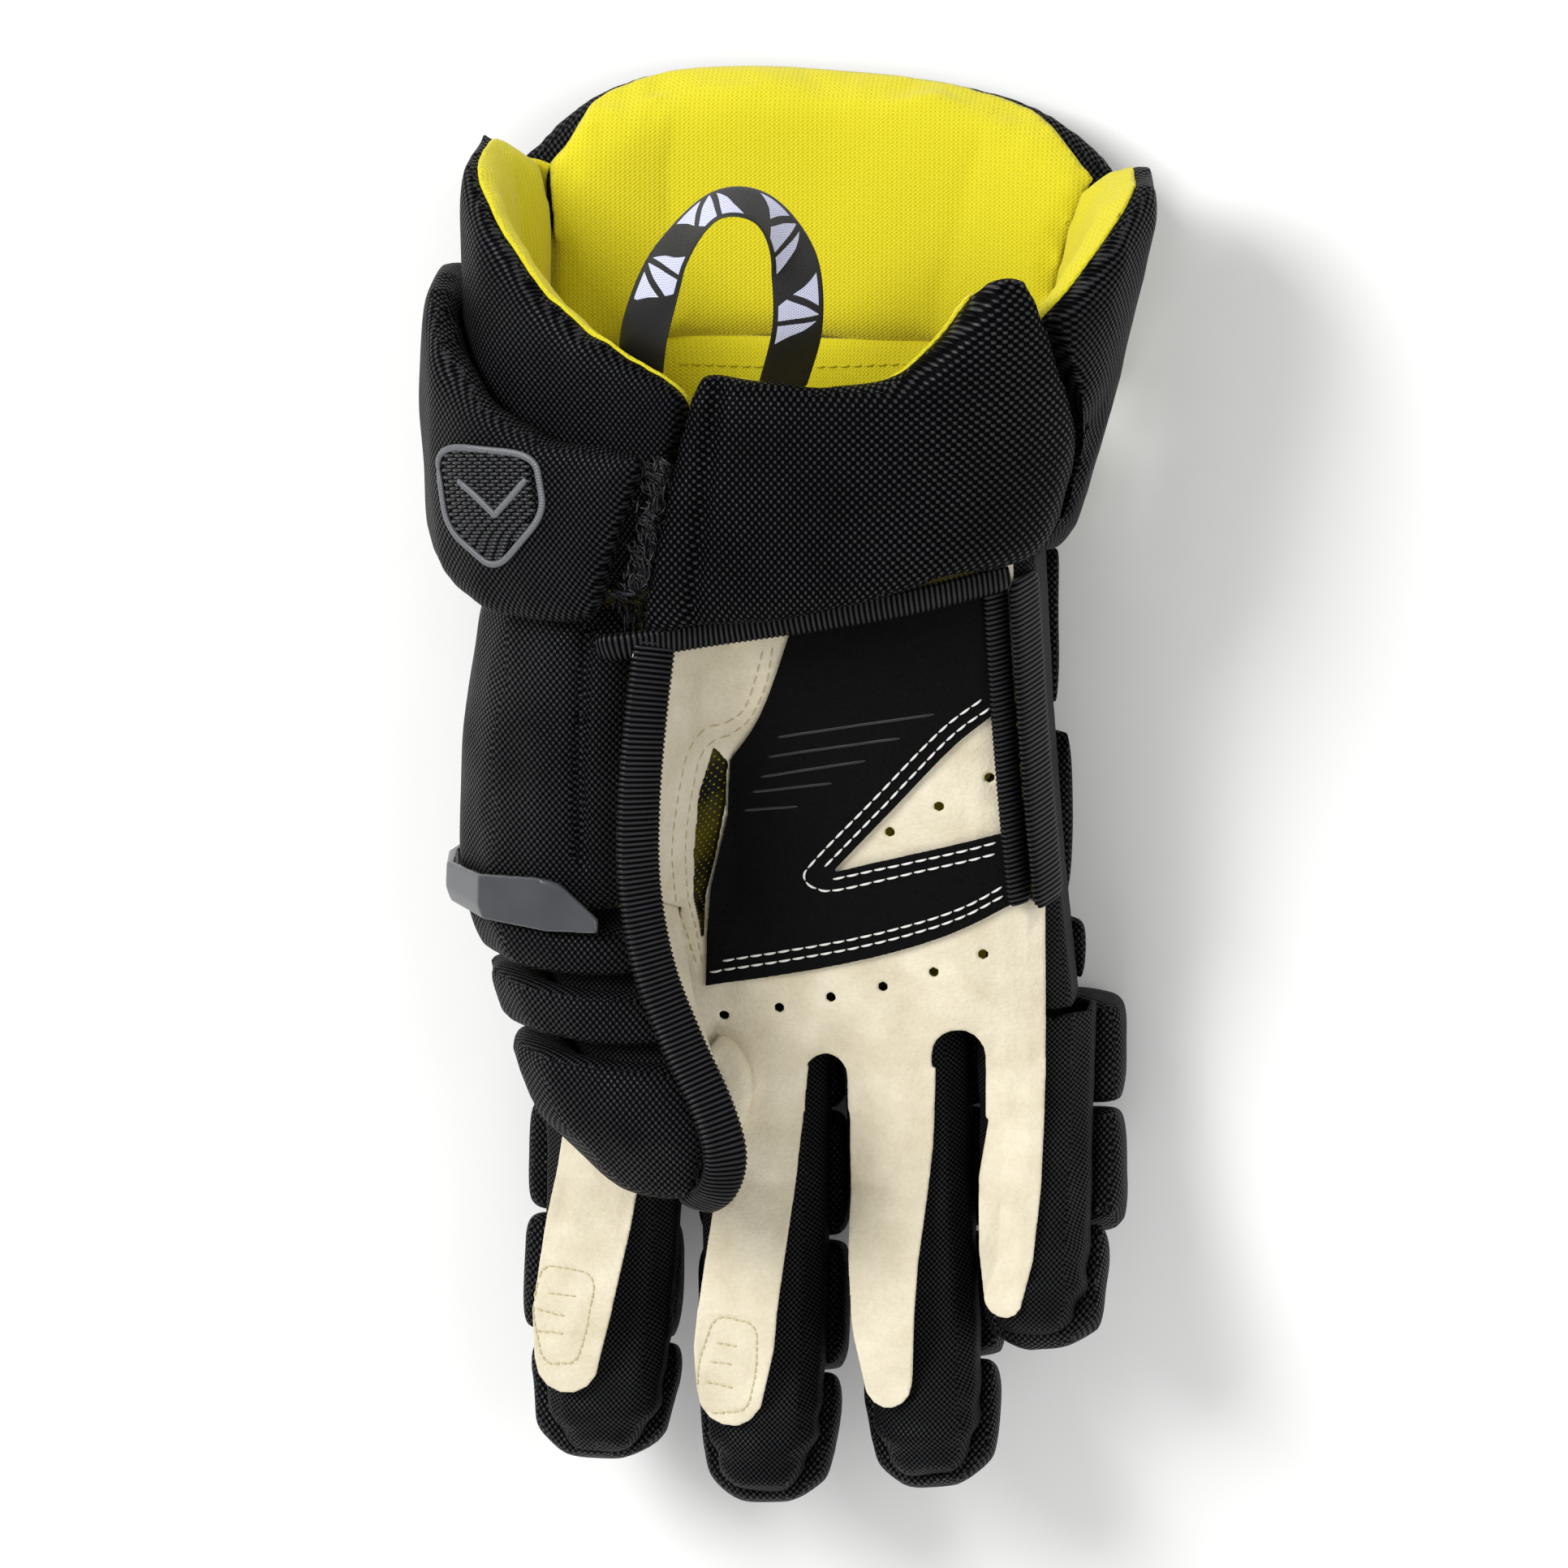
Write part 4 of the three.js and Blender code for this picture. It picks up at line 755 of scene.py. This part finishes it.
def smooth_route(points, step):
    """A smooth curve through points, as points one step apart, each with its direction."""
    points = [points[0] * 2 - points[1], *points, points[-1] * 2 - points[-2]]
    fine = []
    for a, b, c, d in zip(points, points[1:], points[2:], points[3:]):
        for k in range(24):
            t = k / 24
            bow, twist = 2 * a - 5 * b + 4 * c - d, 3 * b - a - 3 * c + d
            fine.append(0.5 * (2 * b + (c - a) * t + bow * t * t + twist * t ** 3))
    fine.append(points[-2])
    fine = np.array([list(p) for p in fine])
    reach = np.concatenate([[0], np.cumsum(np.linalg.norm(np.diff(fine, axis=0), axis=1))])
    count = max(int(reach[-1] / step), 2)
    at = np.linspace(0, reach[-1], count + 1)
    line = np.stack([np.interp(at, reach, fine[:, k]) for k in range(3)], 1)
    return at, line, np.gradient(line, axis=0)


def tape_along(name, route, width, depth, lie, step=0.32, sides=14, rib=1.0, rib_depth=0.0):
    """A flat rounded tape along a route in mm, turned to face the way lie gives, with ribs across it."""
    at, line, out = smooth_route(place(route), step * MM)
    total = at[-1]
    points, uvs = [], []
    for s, p, d in zip(at, line, out):
        d = Vector(d).normalized()
        face = lie(s / total)
        side = face.cross(d).normalized()
        up = d.cross(side).normalized()
        end = min(1.0, 0.72 + 0.28 * min(s, total - s) / (2.0 * MM))
        swell = 1 + rib_depth * math.cos(2 * math.pi * s / (rib * MM))
        for k in range(sides):
            turn = 2 * math.pi * (k + 0.5) / sides
            c, n = math.cos(turn), math.sin(turn)
            wide = math.copysign(abs(c) ** 0.8, c) * width / 2 * (1 + (swell - 1) * 0.35) * end
            deep = math.copysign(abs(n) ** 0.8, n) * depth / 2 * swell * end
            points.append(Vector(p) + side * wide * MM + up * deep * MM)
            uvs.append((turn * (width + depth) / 6 * MM, s))
    piece = made_piece(name, points, tube_faces(0, len(at), sides))
    layer = piece.data.uv_layers.new(name="cloth")
    for corner, loop in zip(layer.data, piece.data.loops):
        corner.uv = uvs[loop.vertex_index]
    return piece


def facing(*way):
    """The same direction all along a tape."""
    return lambda t: Vector(way)


THUMB_EDGE = [
    (-24.5, 44, 89.5), (-26.5, 24, 92.5), (-28, 4, 93.2), (-28, -16, 92.6), (-24.4, -36, 92.8),
    (-17.6, -53, 94.6), (-10, -68, 97.6), (-6.8, -80, 97.2), (-9.5, -89.5, 93), (-16, -95, 87),
]
UNDER_FLAP = [
    (-38, 41.2, 90.5), (-29, 42.4, 91.2), (-10, 44.9, 85), (12, 48.4, 83), (35, 52.4, 79),
    (57.5, 57.4, 70.5),
]
PALM_EDGE = [
    (53.6, 56.0, 66.9), (54.5, 35.5, 63.1), (55.6, 15.0, 59.4), (57.0, -5.5, 56.1), (58.6, -26.0, 52.7),
]
OUTER_EDGE = [
    (60.0, 56.0, 62.6), (61.0, 35.5, 59.2), (62.1, 15.0, 55.9), (63.6, -5.5, 53.0), (65.3, -26.0, 49.9),
]
for part, route, width, depth, lie in (
    ("thumb_binding", THUMB_EDGE, 10.6, 3.4, lambda t: Vector((0.62 - 0.12 * t, -0.35 * t ** 3, 1))),
    ("cuff_binding", UNDER_FLAP, 7.2, 3.2, facing(0, -0.45, 1)),
    ("palm_edge_binding", PALM_EDGE, 7.0, 2.6, facing(0.69, 0, 0.72)),
    ("side_binding", OUTER_EDGE, 13.0, 2.4, facing(0.91, 0, 0.41)),
):
    binding = tape_along(part + "_tape", route, width, depth, lie, rib=RIB, rib_depth=0.14)
    finish_piece(binding, tape, "black_braid", part)

# --- Pull loop -----------------------------------------------------------------------------------
# A woven ribbon sewn inside the palm flap stands up in a loop, to pull the glove on by. Pale
# slanted blocks are woven into the black, except near its ends.
ribbon, tree, shader = new_material("woven_ribbon_black_and_silver")
uv = node(tree, "ShaderNodeUVMap", {}, uv_map="cloth")
BLOCK, WEAVE = 21.0, 0.7  # mm from one pale block to the next, and from thread to thread
axes, _, weave = crossed_waves(tree, uv.outputs[0], WEAVE, WEAVE)
shares = []
for lean, at, reach in ((0.9, 0.36, 0.27), (-0.7, 0.2, 0.05), (0.2, 0.47, 0.035)):
    slanted = node(
        tree, "ShaderNodeMath", {0: axes.outputs[0], 1: lean, 2: axes.outputs[1]}, operation="MULTIPLY_ADD",
    )
    cycle = node(tree, "ShaderNodeMath", {0: slanted.outputs[0], 1: 1 / (BLOCK * MM)}, operation="MULTIPLY")
    cycle = node(tree, "ShaderNodeMath", {0: cycle.outputs[0]}, operation="FRACT")
    shares.append(node(tree, "ShaderNodeMath", {0: cycle.outputs[0], 1: at, 2: reach}, operation="COMPARE"))
block = node(tree, "ShaderNodeMath", {0: shares[0].outputs[0], 1: shares[1].outputs[0]}, operation="SUBTRACT")
block = node(
    tree, "ShaderNodeMath", {0: block.outputs[0], 1: shares[2].outputs[0]}, operation="SUBTRACT",
    use_clamp=True,
)
HALF_BLOCK, LOOP_TOP, BLOCKS_REACH = 4.1 * MM, 61 * MM, 41 * MM  # how far the blocks go each way
inside = node(tree, "ShaderNodeMath", {0: axes.outputs[0], 1: 0.0, 2: HALF_BLOCK}, operation="COMPARE")
middle = node(tree, "ShaderNodeMath", {0: axes.outputs[1], 1: LOOP_TOP, 2: BLOCKS_REACH}, operation="COMPARE")
pale = node(tree, "ShaderNodeMath", {0: block.outputs[0], 1: inside.outputs[0]}, operation="MULTIPLY")
pale = node(tree, "ShaderNodeMath", {0: pale.outputs[0], 1: middle.outputs[0]}, operation="MULTIPLY")
dots = node(tree, "ShaderNodeMapRange", {"Value": weave.outputs[0], "From Min": -0.9, "From Max": -0.2})
silver = node(
    tree, "ShaderNodeMix", {0: dots.outputs[0], 6: colour("5C5F78"), 7: colour("CFD2EA")}, data_type="RGBA",
)
mixed = node(
    tree, "ShaderNodeMix", {0: pale.outputs[0], 6: colour("0B0B0D"), 7: silver.outputs[2]}, data_type="RGBA",
)
bump = node(tree, "ShaderNodeBump", {"Height": weave.outputs[0], "Strength": 0.35, "Distance": 0.00012})
feed(tree, shader, {"Base Color": mixed.outputs[2], "Roughness": 0.45, "Normal": bump.outputs[0]})
LOOP = [
    (-29.5, 106, 80), (-26.5, 119, 88), (-19.5, 136, 93.5), (-9, 148, 96.5),
    (2, 147.5, 96), (8.5, 136, 92), (9, 119, 86), (4, 102, 78),
]
LOOP_SIDES = 20
loop = tape_along(
    "pull_loop_ribbon", LOOP, 12, 0.9,
    lambda t: Vector((-0.35 + 0.7 * t, 2.1 * math.sin(math.pi * t) ** 2 - 0.5, 0.85)), 0.6, LOOP_SIDES,
)
for corner, spot in zip(loop.data.uv_layers["cloth"].data, loop.data.loops):
    k = spot.vertex_index % LOOP_SIDES
    corner.uv[0] = 5.5 * MM * math.cos(2 * math.pi * (k + 0.5) / LOOP_SIDES)
finish_piece(loop, ribbon, "woven_ribbon", "pull_loop")

# --- Badge ---------------------------------------------------------------------------------------
# A moulded strip of smooth grey plastic is sewn across the thumb's base pad. Its low gloss varies
# a little from place to place, and it is left bare.
plastic, tree, shader, haze = two_toned("moulded_tpu_grey", 90, 3, "36383B", "4A4C50")
gloss = node(tree, "ShaderNodeMapRange", {"Value": haze.outputs["Fac"], "To Min": 0.16, "To Max": 0.34})
feed(tree, shader, {"Roughness": gloss.outputs[0], "IOR": 1.5})
badge = crisp_copy("thumb_badge", depth=7, scale=0.9, smooth=16)
lay_cloth(badge)
finish_piece(badge, plastic, "grey_plastic", "thumb_badge")

# --- Stitching -----------------------------------------------------------------------------------
# Two rows of white thread hold the overlay's edges, and beige thread runs up the thumb's strip.
# Each stitch is a short, fat thread that dips into the suede at both ends.
white_thread = two_toned("spun_polyester_thread_white", 3500, 2, "C9C7C2", "F4F3F0")[0]
beige_thread = two_toned("spun_polyester_thread_beige", 3500, 2, "B7AB84", "D8CDA6")[0]


def add_thread(points, faces, spine, radii, sides, facings=None):
    """Adds a thread along a spine to the points and faces: a ring of sides for each point, closed."""
    base, last = len(points), len(spine) - 1
    for k, (p, radius) in enumerate(zip(spine, radii)):
        d = (spine[min(k + 1, last)] - spine[max(k - 1, 0)]).normalized()
        side = (facings[k].cross(d) if facings else d.orthogonal()).normalized()
        up = d.cross(side)
        for corner in range(sides):
            turn = 2 * math.pi * corner / sides
            points.append(p + (side * math.cos(turn) + up * math.sin(turn)) * radius)
    faces += tube_faces(base, len(spine), sides)


def below(x, y, ground):
    """Where a point (x, y) in mm falls on a surface from above, and the way it faces there."""
    start = Vector(((x + GLOVE_SHIFT[0]) * MM, (y + GLOVE_SHIFT[1]) * MM, 0.2))
    return ground.ray_cast(start, Vector((0, 0, -1)))[:2]


def in_picture(u, v, ground):
    """The same from the camera, for a point in mm right and up from the picture's middle."""
    return sight(PICTURE / 2 + u / PIXEL, PICTURE / 2 - v / PIXEL, ground)


def from_pixels(*rows):
    """Rows of pixels as rows of points in mm right and up from the picture's middle."""
    return [[((x - PICTURE / 2) * PIXEL, (PICTURE / 2 - y) * PIXEL) for x, y in row] for row in rows]


def stitches(name, ground, rows, long, gap, thick, material, slot, sink=0.3, lift=0.0, fall=below):
    """Rows of stitches, each row a line of (x, y) in mm, laid where it falls on the ground."""
    points, faces = [], []
    for row in rows:
        route = [Vector((x * MM, y * MM, 0)) for x, y in row]
        at, line, out = smooth_route(route, 0.25 * MM)
        starts = np.arange(gap / 2, at[-1] / MM - long, long + gap)
        for start in starts:
            spots = []
            for t in (0, 0.25, 0.5, 0.75, 1):
                s = (start + long * t) * MM
                p = Vector([np.interp(s, at, line[:, k]) for k in range(3)])
                hit, face = fall(p.x / MM, p.y / MM, ground)
                if hit is None:
                    break
                arch = math.sin(math.pi * t) ** 0.6
                spots.append((hit + face * (lift + thick * (arch - sink)) * 0.5 * MM, face, arch))
            if len(spots) == 5:
                spine, facings, arches = zip(*spots)
                radii = [thick / 2 * (0.55 + 0.45 * arch) * MM for arch in arches]
                add_thread(points, faces, spine, radii, 6, facings)
    finish_piece(made_piece(name, points, faces), material, slot)


over_palm = surface_of(overlay)
on_leather = surface_of(palm)
OVERLAY_ROWS = [
    [(52.2, 23.8), (42.5, 16.2), (26.5, -1.4), (11.4, -17.9)],
    [
        (50.3, 26), (40.3, 17.9), (24.3, 0.4), (9, -16.3), (6.4, -20.6), (9, -23.3), (15, -23.5),
        (35, -18.1), (57.2, -12.2),
    ],
    [(13.2, -21), (35, -15.4), (56.6, -9.5)],
    [(57.6, -20.0), (41, -28.9), (16, -36.6), (-17, -43.3)],
    [(57.8, -22.3), (41, -31.2), (16, -39.0), (-17.2, -45.7)],
]
LEATHER_ROWS = [
    [
        (-20.5, -44), (-22.2, -35), (-22.8, -22.6), (-22.3, -6.9), (-20.3, 7.8), (-18.7, 14.2),
        (-15.6, 18.1), (-11.4, 18.6), (-7.2, 21.8), (-4.1, 29.9), (-1.6, 39.1),
    ],
    [
        (-19.2, -44), (-20, -35), (-20.4, -23), (-19.9, -7.5), (-18.1, 5.8), (-16.6, 11.8),
        (-13.6, 14.8), (-10.5, 15.4), (-5.8, 19.6), (-1.6, 28.7), (0.4, 38.9),
    ],
]
stitches(
    "overlay_stitches", over_palm, OVERLAY_ROWS, 2.9, 0.55, 0.62, white_thread, "black_suede", sink=0.1,
    lift=0.25,
)
stitches("leather_stitches", on_leather, LEATHER_ROWS, 2.3, 0.9, 0.42, beige_thread, "cream_suede")

# --- Thumb crotch fold ---------------------------------------------------------------------------
# Between the thumb and the palm the suede doubles over in a soft fold beside the tape.
FOLD_LINE = [(880, 1284), (896, 1298), (908, 1320), (912, 1342), (906, 1366), (892, 1390)]


def raised(spots, lift):
    """Points found on a surface, lifted off it by that many mm, in the glove's own frame."""
    return [(p + face * lift * MM) / MM - Vector((*GLOVE_SHIFT, 0)) for p, face in spots]


route = raised(seen_line(FOLD_LINE, on_leather, 6), 1.2)
fold = tape_along("crotch_fold", route, 8.0, 5.0, facing(-0.3, 0, 1), step=0.8, sides=20)
finish_piece(fold, suede, "cream_suede")

# --- Fingertip patches ---------------------------------------------------------------------------
# The index and middle fingertips have a rounded patch welded and stitched on, with three bars.
def rounded(corners, radius=0.32, steps=5):
    """A closed line round corners, with each corner cut to a curve."""
    line = []
    for k, (x, y) in enumerate(corners):
        before, after = corners[k - 1], corners[(k + 1) % len(corners)]
        a = (x + (before[0] - x) * radius, y + (before[1] - y) * radius)
        b = (x + (after[0] - x) * radius, y + (after[1] - y) * radius)
        for n in range(steps + 1):
            t = n / steps
            line.append(
                tuple((1 - t) ** 2 * p + 2 * t * (1 - t) * q + t * t * r for p, q, r in zip(a, (x, y), b))
            )
    return line + line[:1]


TIP_ROWS = [
    rounded([(-58.3, -119.5), (-44.6, -121.6), (-46.6, -135), (-49.4, -143.2), (-57.4, -143.6), (-60.2, -130)]),
    [(-56.4, -126), (-49.2, -126.6)],
    [(-59, -129.8), (-51, -131.6)],
    [(-59.4, -135.2), (-52.2, -135.8)],
    rounded([(-15, -129.6), (-4.4, -131.6), (-4.6, -143), (-7, -154), (-19.6, -154.6), (-19, -142)]),
    [(-14.6, -136.6), (-8, -137.6)],
    [(-16, -141.4), (-9.2, -142.2)],
    [(-17.4, -146.6), (-10.2, -148)],
]
co, out = coordinates(palm.data), normals(palm.data)
near = np.full(len(co), 1.0)
for row in TIP_ROWS:
    line = (np.array(row) + GLOVE_SHIFT) * MM
    for a, b in zip(line, line[1:]):
        t = np.clip((co[:, :2] - a) @ (b - a) / max((b - a) @ (b - a), 1e-12), 0, 1)
        near = np.minimum(near, np.linalg.norm(co[:, :2] - (a + t[:, None] * (b - a)), axis=1))
set_coordinates(
    palm.data, co - out * (0.5 * MM * np.exp(-((near / (0.7 * MM)) ** 2)) * (out[:, 2] > 0.3))[:, None],
)
stitches(
    "tip_stitches", surface_of(palm), TIP_ROWS, 1.5, 0.3, 0.4, beige_thread, "cream_suede", sink=0.2,
    lift=0.1,
)

# --- Lines on the overlay ------------------------------------------------------------------------
# Five fine slanted lines are pressed on the black suede in a slightly glossy black film.
film = two_toned("printed_film_black", 700, 2, "0C0C0D", "1C1C1E", 0.38)[0]
PRINTED_LINES = (
    ((0.8, 15), (38.8, 22)), ((-1.6, 10), (30.4, 15.6)), ((-3.8, 4.8), (22, 9.6)),
    ((-6, 0.9), (13.6, 3.6)), ((-8.2, -3.8), (5.2, -2.6)),
)
for number, (a, b) in enumerate(PRINTED_LINES):
    route = []
    for t in np.linspace(0, 1, 9):
        x, y = ((p + (q - p) * t + shift) * MM for p, q, shift in zip(a, b, GLOVE_SHIFT))
        hit = over_palm.ray_cast(Vector((x, y, 0.2)), Vector((0, 0, -1)))[0]
        if hit is not None:
            route.append((hit.x / MM - GLOVE_SHIFT[0], hit.y / MM - GLOVE_SHIFT[1], hit.z / MM + 0.05))
    line = tape_along(f"overlay_line_{number + 1}", route, 0.7, 0.24, facing(0, 0, 1), step=1.0, sides=8)
    finish_piece(line, film, "black_suede")

# --- Lining seam ---------------------------------------------------------------------------------
# A row of yellow thread joins the cuff's lining to the hand's, where the wrist bends. It is of the
# same spun polyester as the others.
yellow_thread = two_toned("spun_polyester_thread_yellow", 3500, 2, "B3A800", "E0D41A")[0]
cuff_inside = surface_of(bpy.data.objects["back_cuff_lining_cloth"], lining)
LINING_SEAM = [(835, 448), (980, 452), (1125, 448)]
stitches(
    "lining_seam", cuff_inside, from_pixels(LINING_SEAM), 2.2, 0.8, 0.6, yellow_thread, "yellow_knit",
    sink=0.2, lift=0.2, fall=in_picture,
)

# --- Embroidery ----------------------------------------------------------------------------------
# A plain shield with a chevron is embroidered on the wrap: a fill of short dark glossy stitches,
# with a raised grey satin cord round it.
fill_thread = two_toned("rayon_thread_black", 3500, 2, "101113", "26272A", 0.35)[0]
cord_thread = two_toned("rayon_thread_grey", 3500, 2, "3F4043", "77797D", 0.35)[0]
SHIELD = rounded([(538, 548), (660, 560), (672, 632), (612, 704), (552, 650)], 0.3, 6)
CHEVRON = [(568, 592), (590, 612), (612, 634), (632, 612), (650, 590)]
FILL_ROWS = np.arange(552, 702, 4.5)  # their heights in the picture, in pixels
on_wrap = surface_of(wrap)
fill = []
for number, y in enumerate(FILL_ROWS):
    crossings = sorted(
        x0 + (x1 - x0) * (y - y0) / (y1 - y0)
        for (x0, y0), (x1, y1) in zip(SHIELD, SHIELD[1:]) if (y0 - y) * (y1 - y) < 0
    )
    if len(crossings) == 2 and crossings[1] - crossings[0] > 20:
        left, right = crossings[0] + 3 + 6 * (number % 2), crossings[1] - 3
        fill.append([(left, y), ((left + right) / 2, y), (right, y)])
stitches(
    "shield_fill", on_wrap, from_pixels(*fill), 2.4, 0.15, 0.95, fill_thread, "black_mesh", sink=0.1,
    lift=0.2, fall=in_picture,
)


def cord(name, pixels, width, depth, lift):
    """A satin cord laid on the wrap along a line through pixels."""
    spots = seen_line(pixels, on_wrap, 5)
    lie = lambda t: spots[min(int(t * len(spots)), len(spots) - 1)][1]
    line = tape_along(name, raised(spots, lift), width, depth, lie, step=0.2, sides=10, rib=0.7, rib_depth=0.16)
    finish_piece(line, cord_thread, "black_mesh")


cord("shield_edge", SHIELD, 1.7, 1.2, 0.4)
cord("shield_chevron", CHEVRON, 1.7, 1.3, 0.7)

# --- Raw edges -----------------------------------------------------------------------------------
# The wrap ends in a raw, fraying edge beside the palm flap: a twisted bundle of loose black threads
# in a band along the cut, with a few more round its lower end.
def frayed(name, pixels, ground, wide, count, seed):
    """Loose curled threads heaped along a line through pixels, in a band wide mm across."""
    chance = np.random.default_rng(seed)
    spots = seen_line(pixels, ground, 2)
    points, faces = [], []
    for _ in range(count):
        k = int(chance.integers(2, len(spots) - 2))
        hit, face = spots[k]
        run = (spots[k + 2][0] - spots[k - 2][0]).normalized()
        cross = face.cross(run).normalized()
        centre = hit + cross * chance.normal(0, wide / 4) * MM + face * abs(chance.normal(0.5, 0.5)) * MM
        turn = chance.normal(0.5, 0.5)
        way = (run * math.cos(turn) + cross * math.sin(turn)).normalized()
        bend = cross * chance.normal(0, 0.9) * MM
        long, thick = chance.uniform(2.5, 6.0) * MM, chance.uniform(0.2, 0.36) * MM
        spine = [
            centre + way * long * (t - 0.5) + (bend + face * 0.9 * MM) * math.sin(math.pi * t)
            for t in (0, 0.25, 0.5, 0.75, 1)
        ]
        add_thread(points, faces, spine, [thick] * 5, 5)
    finish_piece(made_piece(name, points, faces), fill_thread, "black_mesh")


wrap_side = surface_of(wrap, cuffs[1], thumbs[0], bpy.data.objects["cuff_binding_tape"])
RAW_EDGE = [(812, 566), (808, 620), (797, 690), (784, 735), (772, 770)]
RAW_END = [(762, 722), (776, 736), (796, 748)]
frayed("wrap_raw_edge", RAW_EDGE, wrap_side, wide=7.5, count=520, seed=5)
frayed("wrap_raw_end", RAW_END, wrap_side, wide=6.0, count=140, seed=6)
